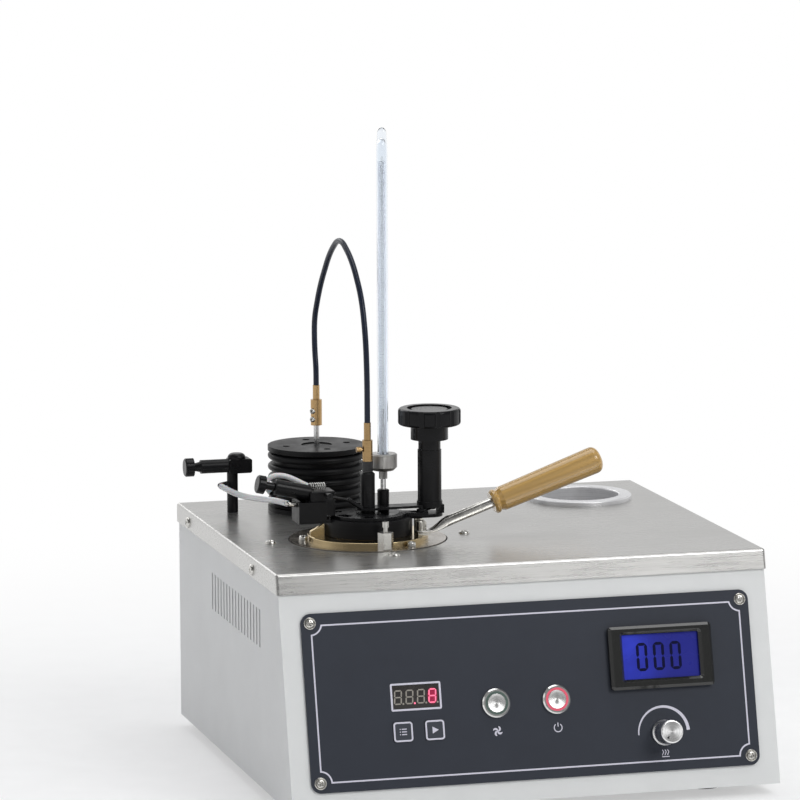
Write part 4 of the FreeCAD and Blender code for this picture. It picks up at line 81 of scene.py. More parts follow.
# Routes of the two gas hoses, the same as in the CAD source
GAS_HOSE = np.array([
    (-143.6, 111.0, 173.5), (-139.5, 98.0, 171.6), (-136.0, 85.8, 171.0), (-133.6, 72.0, 172.0),
    (-132.4, 58.3, 173.5), (-131.2, 38.0, 176.0), (-130.2, 19.5, 178.5), (-129.2, 4.8, 180.1),
    (-128.5, -10.5, 181.3),
]) * MM
LID_HOSE = np.array([
    (-137.6, -4.1, 187.5), (-139.9, -1.6, 190.0), (-139.4, 0.9, 194.5), (-134.9, 1.4, 198.2),
    (-127.4, 1.4, 197.8), (-120.9, 0.7, 195.2), (-115.8, -1.0, 192.4), (-112.4, -2.2, 190.8),
]) * MM


class TesterSizes(bpy.types.PropertyGroup):
    """Sizes of the printed lines, the digits, the hoses and the thermometer"""

    border_width: FloatProperty(name="Border line", description="Width of the line round the panel",
                                default=1.0 * MM, unit="LENGTH")
    outline_width: FloatProperty(name="Key outline", description="Width of the line round each key",
                                 default=1.05 * MM, unit="LENGTH")
    ink: FloatProperty(name="Ink", description="Thickness of the printed lines",
                       default=0.06 * MM, unit="LENGTH")
    digit_height: FloatProperty(name="Digit height", description="Height of the light digits",
                                default=9.14 * MM, unit="LENGTH")
    digit_pitch: FloatProperty(name="Digit pitch", description="From one light digit to the next",
                               default=7.5 * MM, unit="LENGTH")
    meter_digit: FloatProperty(name="Meter digit", description="Height of the voltmeter's digits",
                               default=18.0 * MM, unit="LENGTH")
    gas_hose: FloatProperty(name="Gas hose", description="Diameter of the hose from the post",
                            default=4.0 * MM, unit="LENGTH")
    lid_hose: FloatProperty(name="Lid hose", description="Diameter of the short hose on the lid",
                            default=3.4 * MM, unit="LENGTH")
    glass_radius: FloatProperty(name="Glass", description="Radius of the thermometer's sheath",
                                default=3.65 * MM, unit="LENGTH")
    degree_marks: IntProperty(name="Scale marks", description="Marks on the thermometer's scale",
                              default=100, min=10, max=200)


class TesterColours(bpy.types.PropertyGroup):
    """Colours of the painted, printed and lit surfaces"""

    paint: FloatVectorProperty(name="Case paint", description="White powder coat",
                               default=(0.74, 0.75, 0.74), subtype="COLOR")
    panel: FloatVectorProperty(name="Panel", description="Slate paint of the control panel",
                               default=(0.028, 0.033, 0.046), subtype="COLOR")
    ink: FloatVectorProperty(name="Print", description="Pale printed lines",
                             default=(0.66, 0.65, 0.74), subtype="COLOR")
    screen: FloatVectorProperty(name="Meter screen", description="Lit blue screen",
                                default=(0.010, 0.013, 0.17), subtype="COLOR")
    screen_ink: FloatVectorProperty(name="Meter digits", description="Dark digits on the screen",
                                    default=(0.002, 0.003, 0.035), subtype="COLOR")
    digit_off: FloatVectorProperty(name="Dark digit", description="Digit that is not lit",
                                   default=(0.33, 0.305, 0.265), subtype="COLOR")
    digit_on: FloatVectorProperty(name="Lit digit", description="Digit that is lit",
                                  default=(0.90, 0.15, 0.27), subtype="COLOR")
    fan_halo: FloatVectorProperty(name="Fan ring", description="Ring round the fan button",
                                  default=(0.075, 0.12, 0.10), subtype="COLOR")
    power_halo: FloatVectorProperty(name="Power ring", description="Lit ring round the power button",
                                    default=(0.58, 0.075, 0.12), subtype="COLOR")
    wood: FloatVectorProperty(name="Grip", description="Varnished wood",
                              default=(0.50, 0.30, 0.078), subtype="COLOR")
    brass: FloatVectorProperty(name="Brass", description="Machined brass",
                               default=(0.46, 0.305, 0.145), subtype="COLOR")


# Shapes, as grids of points worked out at once

def grid_faces(rows, columns, wrap_rows=False, wrap_columns=False):
    """Quads between neighbours of a rows by columns grid: corner (i, j), (i, j+1), (i+1, j+1), (i+1, j)."""
    i, j = np.meshgrid(np.arange(rows - (not wrap_rows)), np.arange(columns - (not wrap_columns)),
                       indexing="ij")
    below, beside = (i + 1) % rows, (j + 1) % columns
    quads = [i * columns + j, i * columns + beside, below * columns + beside, below * columns + j]
    return np.stack(quads, -1).reshape(-1, 4)


def joined(shapes):
    """One shape of several: the points one after the other, each shape's faces counted on."""
    starts = np.cumsum([0] + [len(points) for points, faces in shapes[:-1]])
    return (np.concatenate([points for points, faces in shapes]),
            np.concatenate([faces + start for (points, faces), start in zip(shapes, starts)]))


def turned(profile, count, place=(0, 0, 0), turn=None):
    """A turned piece: each profile point (radius, height) goes round the axis, x = r cos t, y = r sin t."""
    profile = np.asarray(profile, float)
    angle = np.linspace(0, 2 * np.pi, count, endpoint=False)
    radius, height = profile[:, :1], profile[:, 1:]
    points = np.stack([radius * np.cos(angle), radius * np.sin(angle), height + 0 * angle], -1)
    points = points.reshape(-1, 3)
    if turn is not None:
        points = points @ np.asarray(turn, float)
    return points + np.asarray(place), grid_faces(len(profile), count, wrap_columns=True)


class Plane:
    """A flat place for lines and signs: a point (u, v, out) is origin + u across + v up + out outwards."""

    def __init__(self, origin, across, up):
        self.origin = np.asarray(origin, float)
        self.across = np.asarray(across, float)
        self.up = np.asarray(up, float)
        self.out = np.cross(self.across, self.up)

    def at(self, u, v, out):
        """Points of the plane in space, from arrays or from single numbers."""
        return (self.origin + np.multiply.outer(u, self.across) + np.multiply.outer(v, self.up)
                + np.multiply.outer(out, self.out))

    def moved(self, u, v, out=0.0):
        """The same plane with its origin at one of its points."""
        return Plane(self.at(u, v, out), self.across, self.up)


FRONT = Plane(FRONT_FOOT, ACROSS, FRONT_UP)


def unit(vectors):
    """Each row divided by its own length."""
    return vectors / np.linalg.norm(vectors, axis=-1, keepdims=True)


def ribbon(path, width, plane, low, high, closed=False):
    """A flat line: the path's points moved half the width to each side, mitred where it bends, as a
    ring of four corners, low right, low left, high left and high right, carried along the path."""
    path = np.asarray(path, float)
    half = np.broadcast_to(np.asarray(width, float) / 2, len(path))
    ahead = np.roll(path, -1, 0) - path
    behind = np.roll(ahead, 1, 0)
    if not closed:
        ahead[-1] = behind[-1]
        behind[0] = ahead[0]
    ahead, behind = unit(ahead), unit(behind)
    left = unit((ahead + behind)[:, ::-1] * (-1, 1))
    mitre = np.maximum((left * ahead[:, ::-1] * (-1, 1)).sum(1), MITRE_LEAST)
    step = left * (half / mitre)[:, None]
    right_side, left_side = path - step, path + step
    ring = [(right_side, low), (left_side, low), (left_side, high), (right_side, high)]
    points = np.stack([plane.at(side[:, 0], side[:, 1], np.full(len(path), level))
                       for side, level in ring], 1).reshape(-1, 3)
    faces = grid_faces(len(path), 4, wrap_rows=closed, wrap_columns=True)
    if not closed:
        last = 4 * len(path)
        ends = [[3, 2, 1, 0], [last - 4, last - 3, last - 2, last - 1]]
        faces = np.concatenate([faces, ends])
    return points, faces


def arc(centre, radius, start, end, count):
    """Points on a circle from one angle to another, in degrees."""
    angle = np.radians(np.linspace(start, end, count))
    return np.stack([centre[0] + radius * np.cos(angle), centre[1] + radius * np.sin(angle)], 1)


def rounded_box(half_width, half_height, radius, count=7):
    """The outline of a box with round corners, anticlockwise: four quarter circles one after the other."""
    corners = [(1, 1, 0), (-1, 1, 90), (-1, -1, 180), (1, -1, 270)]
    return np.concatenate([arc((sx * (half_width - radius), sy * (half_height - radius)),
                               radius, start, start + 90, count) for sx, sy, start in corners])


# Edges sharper than these angles stay sharp, on most pieces and on the screws
SHARP_ABOVE = 35
SCREW_SHARP_ABOVE = 50


def make_piece(name, shapes, finish, body, sharp_above=SHARP_ABOVE):
    """Joins the shapes, closes their seams and poles, and makes them one piece that rides on a body."""
    points, faces = joined(shapes)
    mesh = bpy.data.meshes.new(name)
    mesh.from_pydata(points.tolist(), [], faces.tolist())
    work = bmesh.new()
    work.from_mesh(mesh)
    bmesh.ops.remove_doubles(work, verts=work.verts, dist=WELD)
    bmesh.ops.dissolve_degenerate(work, edges=work.edges, dist=WELD)
    work.to_mesh(mesh)
    work.free()
    mesh.polygons.foreach_set("use_smooth", np.ones(len(mesh.polygons), bool))
    mesh.set_sharp_from_angle(angle=math.radians(sharp_above))
    mesh.materials.append(finish)
    piece = bpy.data.objects.new(name, mesh)
    bpy.context.scene.collection.objects.link(piece)
    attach(piece, body)
    return piece


# Node trees of the materials, and the groups they share

def add(tree, kind, sockets=None, **settings):
    """Puts one node in a tree. Sockets get a constant, or a link where the value is a socket."""
    node = tree.nodes.new(kind)
    for key, value in settings.items():
        setattr(node, key, value)
    for key, value in (sockets or {}).items():
        if isinstance(value, bpy.types.NodeSocket):
            tree.links.new(value, node.inputs[key])
        else:
            node.inputs[key].default_value = value
    return node


def combine(tree, operation, a, b=0.0):
    """One Math node's value."""
    return add(tree, "ShaderNodeMath", {0: a, 1: b}, operation=operation).outputs[0]


def combine_vectors(tree, operation, a, b):
    """One Vector Math node's vector."""
    return add(tree, "ShaderNodeVectorMath", {0: a, 1: b}, operation=operation).outputs[0]


def from_axis(tree, x, y):
    """The distance from an axis: the square root of x squared and y squared together."""
    squares = combine(tree, "ADD", combine(tree, "MULTIPLY", x, x), combine(tree, "MULTIPLY", y, y))
    return combine(tree, "SQRT", squares)


def spread(tree, value, low, high, low_out, high_out, smooth=False):
    """A value between low and high made one between low_out and high_out, and held at those."""
    kind = "SMOOTHSTEP" if smooth else "LINEAR"
    node = add(tree, "ShaderNodeMapRange", {0: value, 1: low, 2: high, 3: low_out, 4: high_out},
               interpolation_type=kind)
    return node.outputs[0]


def blend_colour(tree, mask, first, second):
    """The first colour where the mask is 0 and the second where it is 1."""
    node = add(tree, "ShaderNodeMix", {0: mask}, data_type="RGBA")
    for index, colour in ((6, first), (7, second)):
        if isinstance(colour, bpy.types.NodeSocket):
            tree.links.new(colour, node.inputs[index])
        else:
            node.inputs[index].default_value = (*colour, 1.0)
    return node.outputs[2]


def noise(tree, vector, scale, detail=3.0, roughness=0.55):
    """The value of a noise texture at a vector."""
    node = add(tree, "ShaderNodeTexNoise",
               {"Vector": vector, "Scale": scale, "Detail": detail, "Roughness": roughness})
    return node.outputs["Fac"]


def new_group(name, inputs, outputs):
    """An empty shader group with its sockets, and its two end nodes."""
    tree = bpy.data.node_groups.new(name, "ShaderNodeTree")
    for label, kind, value in inputs:
        socket = tree.interface.new_socket(label, in_out="INPUT", socket_type=kind)
        if value is not None:
            socket.default_value = value
    for label in outputs:
        tree.interface.new_socket(label, in_out="OUTPUT", socket_type="NodeSocketFloat")
    return tree, tree.nodes.new("NodeGroupInput"), tree.nodes.new("NodeGroupOutput")


def streaks_group():
    """Brushed streaks: noise on coordinates stretched by Lines, long one way and close the others."""
    tree, start, end = new_group("Brushed streaks", [
        ("Vector", "NodeSocketVector", None),
        ("Lines", "NodeSocketVector", (40.0, 3000.0, 3000.0)),
    ], ["Streaks", "Cloud"])
    fine = combine_vectors(tree, "MULTIPLY", start.outputs["Vector"], start.outputs["Lines"])
    coarse = combine_vectors(tree, "MULTIPLY", fine, (0.35, 0.21, 0.21))
    both = combine(tree, "ADD", noise(tree, fine, 1.0), noise(tree, coarse, 1.0))
    tree.links.new(spread(tree, both, 0.6, 1.4, 0.0, 1.0), end.inputs["Streaks"])
    cloud = noise(tree, start.outputs["Vector"], 22.0, 4.0)
    tree.links.new(spread(tree, cloud, 0.3, 0.7, 0.0, 1.0), end.inputs["Cloud"])
    return tree


def rings_group():
    """Turned rings: noise on the distance from the Z axis and the height, and a slow drift by angle."""
    tree, start, end = new_group("Turned rings", [
        ("Vector", "NodeSocketVector", None),
        ("Lines", "NodeSocketFloat", 2500.0),
    ], ["Rings", "Cloud"])
    apart = add(tree, "ShaderNodeSeparateXYZ", {0: start.outputs["Vector"]})
    x, y, z = apart.outputs
    flat = add(tree, "ShaderNodeCombineXYZ", {0: from_axis(tree, x, y), 1: z}).outputs[0]
    fine = add(tree, "ShaderNodeVectorMath", {0: flat, 3: start.outputs["Lines"]},
               operation="SCALE").outputs[0]
    tree.links.new(spread(tree, noise(tree, fine, 1.0, 2.0), 0.3, 0.7, 0.0, 1.0), end.inputs["Rings"])
    cloud = noise(tree, start.outputs["Vector"], 60.0, 3.0)
    tree.links.new(spread(tree, cloud, 0.3, 0.7, 0.0, 1.0), end.inputs["Cloud"])
    return tree


def grain_group():
    """Fine grain of paint, rubber and castings: small round cells with noise, and a slow cloud."""
    tree, start, end = new_group("Fine grain", [
        ("Vector", "NodeSocketVector", None),
        ("Size", "NodeSocketFloat", 1200.0),
    ], ["Grain", "Cloud"])
    cells = add(tree, "ShaderNodeTexVoronoi", {"Vector": start.outputs["Vector"],
                                               "Scale": start.outputs["Size"]}, feature="SMOOTH_F1")
    lumps = noise(tree, start.outputs["Vector"], start.outputs["Size"], 4.0)
    both = combine(tree, "ADD", combine(tree, "MULTIPLY", cells.outputs["Distance"], 0.6), lumps)
    tree.links.new(spread(tree, both, 0.4, 1.2, 0.0, 1.0), end.inputs["Grain"])
    cloud = noise(tree, start.outputs["Vector"], 35.0, 4.0)
    tree.links.new(spread(tree, cloud, 0.3, 0.7, 0.0, 1.0), end.inputs["Cloud"])
    return tree


def wear_group():
    """Edge wear: how far the surface's own normal departs from one rounded over Radius, times noise."""
    tree, start, end = new_group("Edge wear", [
        ("Vector", "NodeSocketVector", None),
        ("Radius", "NodeSocketFloat", 0.0005),
    ], ["Wear"])
    soft = add(tree, "ShaderNodeBevel", {"Radius": start.outputs["Radius"]}, samples=4)
    own = add(tree, "ShaderNodeNewGeometry")
    agree = add(tree, "ShaderNodeVectorMath", {0: soft.outputs[0], 1: own.outputs["Normal"]},
                operation="DOT_PRODUCT").outputs["Value"]
    edge = spread(tree, agree, 0.97, 0.80, 0.0, 1.0)
    patchy = spread(tree, noise(tree, start.outputs["Vector"], 420.0, 4.0), 0.38, 0.62, 0.15, 1.0)
    tree.links.new(combine(tree, "MULTIPLY", edge, patchy), end.inputs["Wear"])
    return tree


def wood_group():
    """Wood figure along Z: rings on the distance from an offset axis, bent by noise, crossed by fibres."""
    tree, start, end = new_group("Wood figure", [("Vector", "NodeSocketVector", None)],
                                 ["Figure", "Fibre"])
    long = combine_vectors(tree, "MULTIPLY", start.outputs["Vector"], (1.0, 1.0, 0.10))
    bend = noise(tree, long, 60.0, 2.0)
    apart = add(tree, "ShaderNodeSeparateXYZ", {0: long})
    x = combine(tree, "ADD", apart.outputs[0], combine(tree, "MULTIPLY", bend, 0.010))
    y = combine(tree, "ADD", apart.outputs[1], 0.014)
    rings = combine(tree, "SINE", combine(tree, "MULTIPLY", from_axis(tree, x, y), 2600.0))
    tree.links.new(spread(tree, rings, -1.0, 1.0, 0.0, 1.0), end.inputs["Figure"])
    stretched = combine_vectors(tree, "MULTIPLY", start.outputs["Vector"], (1.0, 1.0, 0.04))
    tree.links.new(noise(tree, stretched, 2200.0, 3.0), end.inputs["Fibre"])
    return tree


def knurl_group():
    """Knurling round Z: two sines of the angle, leaning opposite ways along the height, multiplied."""
    tree, start, end = new_group("Knurling", [
        ("Vector", "NodeSocketVector", None),
        ("Count", "NodeSocketFloat", 60.0),
        ("Lean", "NodeSocketFloat", 0.0),
    ], ["Height"])
    apart = add(tree, "ShaderNodeSeparateXYZ", {0: start.outputs["Vector"]})
    angle = combine(tree, "ARCTAN2", apart.outputs[1], apart.outputs[0])
    teeth = combine(tree, "MULTIPLY", angle, start.outputs["Count"])
    rise = combine(tree, "MULTIPLY", apart.outputs[2], start.outputs["Lean"])
    one = combine(tree, "COSINE", combine(tree, "ADD", teeth, rise))
    other = combine(tree, "COSINE", combine(tree, "SUBTRACT", teeth, rise))
    both = combine(tree, "MULTIPLY", one, other)
    tree.links.new(spread(tree, both, -1.0, 1.0, 0.0, 1.0), end.inputs["Height"])
    return tree


GROUPS = {}


def build_groups():
    """Builds each shared group once."""
    makers = {"streaks": streaks_group, "rings": rings_group, "grain": grain_group,
              "wear": wear_group, "wood": wood_group, "knurl": knurl_group}
    for key, maker in makers.items():
        GROUPS[key] = maker()


class Finish:
    """One material under way: its tree, its Principled shader and its coordinates. A constant is named
    after its socket, so that coat_weight sets Coat Weight and ior sets IOR."""

    def __init__(self, name, centre=(0, 0, 0), turn=(0, 0, 0), **constants):
        self.material = bpy.data.materials.new(name)
        self.material.use_nodes = True
        self.tree = self.material.node_tree
        self.shader = self.tree.nodes["Principled BSDF"]
        for key, value in constants.items():
            self.shader.inputs[key.replace("_", " ").title().replace("Ior", "IOR")].default_value = value
        coordinates = add(self.tree, "ShaderNodeTexCoord").outputs["Object"]
        self.vector = add(self.tree, "ShaderNodeMapping",
                          {"Vector": coordinates, "Location": centre, "Rotation": turn},
                          vector_type="TEXTURE").outputs[0]

    def group(self, key, **sockets):
        """One shared group placed in this material, with its own values."""
        node = self.tree.nodes.new("ShaderNodeGroup")
        node.node_tree = GROUPS[key]
        self.tree.links.new(self.vector, node.inputs["Vector"])
        for label, value in sockets.items():
            node.inputs[label].default_value = value
        return node

    def colour(self, mask, first, second):
        """The base colour runs from the first to the second with the mask."""
        colour = blend_colour(self.tree, mask, first, second)
        self.tree.links.new(colour, self.shader.inputs["Base Color"])
        return colour

    def roughness(self, mask, low, high):
        """The roughness runs from low to high with the mask."""
        self.tree.links.new(spread(self.tree, mask, 0.0, 1.0, low, high), self.shader.inputs["Roughness"])

    def bump(self, height, distance, strength=1.0):
        """The height tilts the surface, as if it stood out by the distance."""
        node = add(self.tree, "ShaderNodeBump", {"Height": height, "Distance": distance,
                                                 "Strength": strength})
        self.tree.links.new(node.outputs[0], self.shader.inputs["Normal"])

    def glow(self, colour, strength):
        """The surface gives out light of its own."""
        self.shader.inputs["Emission Strength"].default_value = strength
        self.tree.links.new(colour, self.shader.inputs["Emission Color"])

    def tangent(self, direction):
        """The way in which reflections smear: a fixed direction, across the brushed lines."""
        node = add(self.tree, "ShaderNodeCombineXYZ", dict(enumerate(direction)))
        self.tree.links.new(node.outputs[0], self.shader.inputs["Tangent"])

    def tangent_round(self, centre, axis):
        """The way of turned rings: the axis crossed with the place seen from the centre."""
        coordinates = add(self.tree, "ShaderNodeTexCoord").outputs["Object"]
        from_centre = combine_vectors(self.tree, "SUBTRACT", coordinates, tuple(centre))
        around = combine_vectors(self.tree, "CROSS_PRODUCT", tuple(axis), from_centre)
        self.tree.links.new(around, self.shader.inputs["Tangent"])


def shade(colour, factor):
    """A colour made lighter or darker."""
    return tuple(min(1.0, channel * factor) for channel in colour)


# Finishes that several pieces share

def brushed_plate(name, colour, lines, rough=(0.28, 0.42), direction=(0.0, 0.9, 0.44), anisotropy=0.6,
                  depth=0.004):
    """Brushed metal: long streaks in tone, gloss and a hair of depth, which is in millimetres."""
    finish = Finish(name, metallic=1.0, anisotropic=anisotropy)
    streaks = finish.group("streaks", Lines=lines)
    finish.colour(streaks.outputs["Streaks"], shade(colour, 0.84), shade(colour, 1.1))
    both = combine(finish.tree, "ADD", combine(finish.tree, "MULTIPLY", streaks.outputs["Streaks"], 0.6),
                   combine(finish.tree, "MULTIPLY", streaks.outputs["Cloud"], 0.4))
    finish.roughness(both, *rough)
    finish.bump(streaks.outputs["Streaks"], depth * MM, 0.6)
    finish.tangent(direction)
    return finish.material


def turned_metal(name, colour, centre, turn=(0, 0, 0), rough=(0.14, 0.3), lines=2600.0, depth=0.006,
                 axis=None, anisotropy=0.0, **constants):
    """Metal off the lathe: fine rings round its axis, in tone, gloss and depth in millimetres."""
    finish = Finish(name, centre, turn, **{"metallic": 1.0, "anisotropic": anisotropy, **constants})
    rings = finish.group("rings", Lines=lines)
    finish.colour(rings.outputs["Rings"], shade(colour, 0.82), shade(colour, 1.08))
    finish.roughness(rings.outputs["Cloud"], *rough)
    finish.bump(rings.outputs["Rings"], depth * MM, 0.5)
    if axis is not None:
        finish.tangent_round(centre, axis)
    return finish.material


def black_anodised(name, centre=(0, 0, 0), rough=(0.24, 0.42), lines=1500.0, wear=0.00035):
    """Black anodised aluminium: lathe rings, a soft sheen, and bare metal just showing on the edges, as
    far in as the wear's radius."""
    finish = Finish(name, centre, specular_ior_level=0.19)
    rings = finish.group("rings", Lines=lines)
    worn = finish.group("wear", Radius=wear)
    tone = blend_colour(finish.tree, rings.outputs["Rings"], (0.0040, 0.0040, 0.0045),
                        (0.0085, 0.0085, 0.0095))
    finish.colour(combine(finish.tree, "MULTIPLY", worn.outputs["Wear"], 0.40), tone, (0.12, 0.12, 0.125))
    finish.roughness(rings.outputs["Cloud"], *rough)
    finish.bump(rings.outputs["Rings"], 0.01 * MM, 0.5)
    return finish.material


def grained(name, colour, size, rough, depth, contrast=0.12, **constants):
    """Paint, plastic or rubber: a close grain in gloss and depth, and a faint cloud in tone. The depth is
    in millimetres, and the size is how many grains there are to a metre."""
    finish = Finish(name, **constants)
    grain = finish.group("grain", Size=size)
    finish.colour(grain.outputs["Cloud"], shade(colour, 1 - contrast), shade(colour, 1 + contrast / 2))
    finish.roughness(grain.outputs["Grain"], *rough)
    finish.bump(grain.outputs["Grain"], depth * MM, 0.5)
    return finish.material


def printed(name, colour, strength=0.0, gloss=0.5):
    """Screen ink: even tone with a trace of the mesh it was pushed through."""
    finish = Finish(name, specular_ior_level=gloss)
    grain = finish.group("grain", Size=3500.0)
    tone = finish.colour(grain.outputs["Grain"], shade(colour, 0.93), shade(colour, 1.04))
    finish.roughness(grain.outputs["Cloud"], 0.42, 0.55)
    if strength:
        finish.glow(tone, strength)
    return finish.material


def dress(nodes, material):
    """Gives CAD nodes a finish in their own material slots."""
    for name in nodes:
        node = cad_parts[name]
        for index in range(len(node.material_slots)):
            node.material_slots[index].material = material


# Camera, lamps, world and floor

CAMERA_PLACE = (-0.8916, -3.0585, 0.7274)
CAMERA_TURN = math.radians(-15.4)
CAMERA_RISE = math.radians(8.66)
CAMERA_ROLL = math.radians(-0.22)
LENS_MM = 220.9
FAR_CLIP = 30.0

# Each lamp: name, place, size and power. All point at the middle of the object.
LAMPS = [
    ("key_lamp", (1.1, -2.0, 1.9), 1.3, 30.0),
    ("left_lamp", (-2.3, -1.0, 1.5), 1.2, 2.5),
    ("top_lamp", (0.2, 0.3, 2.4), 1.6, 16.0),
    ("back_lamp", (-0.6, 2.2, 1.6), 1.2, 10.0),
]
AIM = (0.0, 0.0, 0.16)

# Plain fill light from the left and from the right
FILL_LEFT = (0.33, 0.33, 0.355)
FILL_RIGHT = (0.50, 0.51, 0.52)
# Share of white that metal and glass see overhead, and on the camera's side of the room
OVERHEAD_SHARE = 0.30
NEAR_SHARE = 0.30

FLOOR_RADIUS = 4.0
FLOOR_RINGS = 16
FLOOR_SIDES = 64


def place_camera():
    """Camera at the photograph's viewing angle: it looks down its own -Z, away from the way back."""
    back = Vector((math.sin(CAMERA_TURN) * math.cos(CAMERA_RISE),
                   -math.cos(CAMERA_TURN) * math.cos(CAMERA_RISE), math.sin(CAMERA_RISE)))
    level = Vector((0, 0, 1)).cross(back).normalized()
    upright = back.cross(level)
    right = math.cos(CAMERA_ROLL) * level + math.sin(CAMERA_ROLL) * upright
    up = -math.sin(CAMERA_ROLL) * level + math.cos(CAMERA_ROLL) * upright
    data = bpy.data.cameras.new("camera")
    data.lens = LENS_MM
    data.clip_end = FAR_CLIP
    camera = bpy.data.objects.new("camera", data)
    turn = Matrix((right, up, back)).transposed().to_4x4()
    camera.matrix_world = Matrix.Translation(CAMERA_PLACE) @ turn
    bpy.context.scene.collection.objects.link(camera)
    bpy.context.scene.camera = camera


def place_lamps():
    """Soft square lamps, all aimed at the object."""
    for name, place, side, power in LAMPS:
        data = bpy.data.lights.new(name, "AREA")
        data.size = side
        data.energy = power
        lamp = bpy.data.objects.new(name, data)
        way = Vector(AIM) - Vector(place)
        lamp.matrix_world = Matrix.Translation(place) @ way.to_track_quat("-Z", "Y").to_matrix().to_4x4()
        bpy.context.scene.collection.objects.link(lamp)


def light_world():
    """White behind the object for the camera, glass and metal, greyer overhead, and a plain fill light."""
    world = bpy.data.worlds.new("studio")
    bpy.context.scene.world = world
    world.use_nodes = True
    tree = world.node_tree
    ray = add(tree, "ShaderNodeLightPath").outputs
    way = add(tree, "ShaderNodeTexCoord").outputs["Generated"]
    apart = add(tree, "ShaderNodeSeparateXYZ", {0: way})
    height = spread(tree, apart.outputs[2], 0.10, 0.75, 1.0, OVERHEAD_SHARE, smooth=True)
    side = spread(tree, apart.outputs[1], -0.6, 0.3, NEAR_SHARE, 1.0, smooth=True)
    room = combine(tree, "MULTIPLY", height, side)
    mirrored = combine(tree, "MAXIMUM", ray["Is Glossy Ray"], ray["Is Transmission Ray"])
    to_right = spread(tree, apart.outputs[0], -0.8, 0.6, 0.0, 1.0, smooth=True)
    fill = blend_colour(tree, to_right, FILL_LEFT, FILL_RIGHT)
    seen = blend_colour(tree, mirrored, fill, blend_colour(tree, room, (0, 0, 0), (1, 1, 1)))
    shown = blend_colour(tree, ray["Is Camera Ray"], seen, (1, 1, 1))
    tree.links.new(shown, tree.nodes["Background"].inputs["Color"])


def floor_finish():
    """Pale matt floor that the camera and mirrors see as nearly white, with the object's shadow kept."""
    finish = Finish("pale_floor", specular_ior_level=0.1)
    grain = finish.group("grain", Size=60.0)
    finish.colour(grain.outputs["Cloud"], (0.86, 0.86, 0.86), (0.90, 0.90, 0.90))
    finish.roughness(grain.outputs["Grain"], 0.8, 0.95)
    tree = finish.tree
    apart = add(tree, "ShaderNodeSeparateXYZ", {0: finish.vector})
    away = spread(tree, from_axis(tree, apart.outputs[0], apart.outputs[1]), 0.2, 0.9, 0.45, 1.0, smooth=True)
    ray = add(tree, "ShaderNodeLightPath").outputs
    seen = combine(tree, "MAXIMUM", ray["Is Camera Ray"],
                   combine(tree, "MAXIMUM", ray["Is Glossy Ray"], ray["Is Transmission Ray"]))
    white = add(tree, "ShaderNodeEmission")
    mix = add(tree, "ShaderNodeMixShader", {0: combine(tree, "MULTIPLY", away, seen),
                                            1: finish.shader.outputs[0], 2: white.outputs[0]})
    tree.links.new(mix.outputs[0], tree.nodes["Material Output"].inputs["Surface"])
    return finish.material


def lay_floor():
    """A round floor: rings of points at its radius times the square of an even step, round the middle."""
    step = np.linspace(0, 1, FLOOR_RINGS)
    profile = np.stack([FLOOR_RADIUS * step ** 2, np.zeros(FLOOR_RINGS)], 1)
    points, faces = turned(profile[::-1], FLOOR_SIDES)
    mesh = bpy.data.meshes.new("floor")
    mesh.from_pydata(points.tolist(), [], faces.tolist())
    mesh.validate()
    mesh.materials.append(floor_finish())
    floor = bpy.data.objects.new("floor", mesh)
    bpy.context.scene.collection.objects.link(floor)


# Panel print and displays

BORDER_X = 142.0 * MM
BORDER_LOW = 19.2 * MM
BORDER_HIGH = 118.5 * MM
SCREW_X = 142.7 * MM
SCREW_LOW = 19.4 * MM
SCREW_HIGH = 120.0 * MM
NOTCH = 7.5 * MM
NOTCH_POINTS = 14
LED_PLACE = (-77.0 * MM, 70.4 * MM)
LED_FACE = -0.4 * MM
LED_HALF = (15.95 * MM, 8.15 * MM)
LED_CORNER = 0.5 * MM
LED_FRAME_WIDTH = 1.2 * MM
LED_FRAME_TOP = 0.12 * MM
KEY_PLACES = {"left_key": (-87.0 * MM, 48.5 * MM), "right_key": (-66.2 * MM, 48.5 * MM)}
KEY_FACE = 0.8 * MM
KEY_HALF = 5.72 * MM
KEY_CORNER = 1.5 * MM
KEY_SIGN = 2.1 * MM
FAN_PLACE = (-25.0 * MM, 63.0 * MM)
POWER_PLACE = (15.0 * MM, 63.0 * MM)
BEZEL_RISE = 2.4 * MM
HALO_RADIUS = 6.75 * MM
HALO_WIDTH = 1.45 * MM
HALO_LOW = -0.4 * MM
HALO_TOP = 0.08 * MM
CAP_RADIUS = 5.95 * MM
CAP_POINTS = 24
CAP_SIDES = 96
CAP_RISE = 3.0 * MM
CAP_DISH = 0.5 * MM
CAP_DEPTH = 2 * MM
CAP_EDGE = 0.2 * MM
CAP_FLAT_SHARE = 0.97
METER_PLACE = (86.2 * MM, 86.7 * MM)
METER_FACE = 1.2 * MM
KNOB_PLACE = (85.0 * MM, 37.5 * MM)
KNOB_LENGTH = 18.3 * MM
KNOB_MARK = np.array([(-2.2, -2.6), (-3.4, -4.2)]) * MM
KNOB_MARK_LOW = -0.02 * MM
KNOB_MARK_TOP = 0.04 * MM
KNOB_MARK_WIDTH = np.array([0.1, 1.5]) * MM
HEAT_ARC_RADIUS = 16.7 * MM
HEAT_ARC_ANGLES = (182, 3)
HEAT_ARC_WIDTHS = (0.8, 2.2)
HEAT_ARC_POINTS = 49

# Signs under the controls: height up the panel, and half size
FAN_SIGN = (45.2 * MM, 3.3 * MM)
POWER_SIGN = (45.0 * MM, 2.6 * MM)
HEAT_SIGN = (24.4 * MM, 2.3 * MM)
HEAT_SIGN_SHIFT = 0.3 * MM

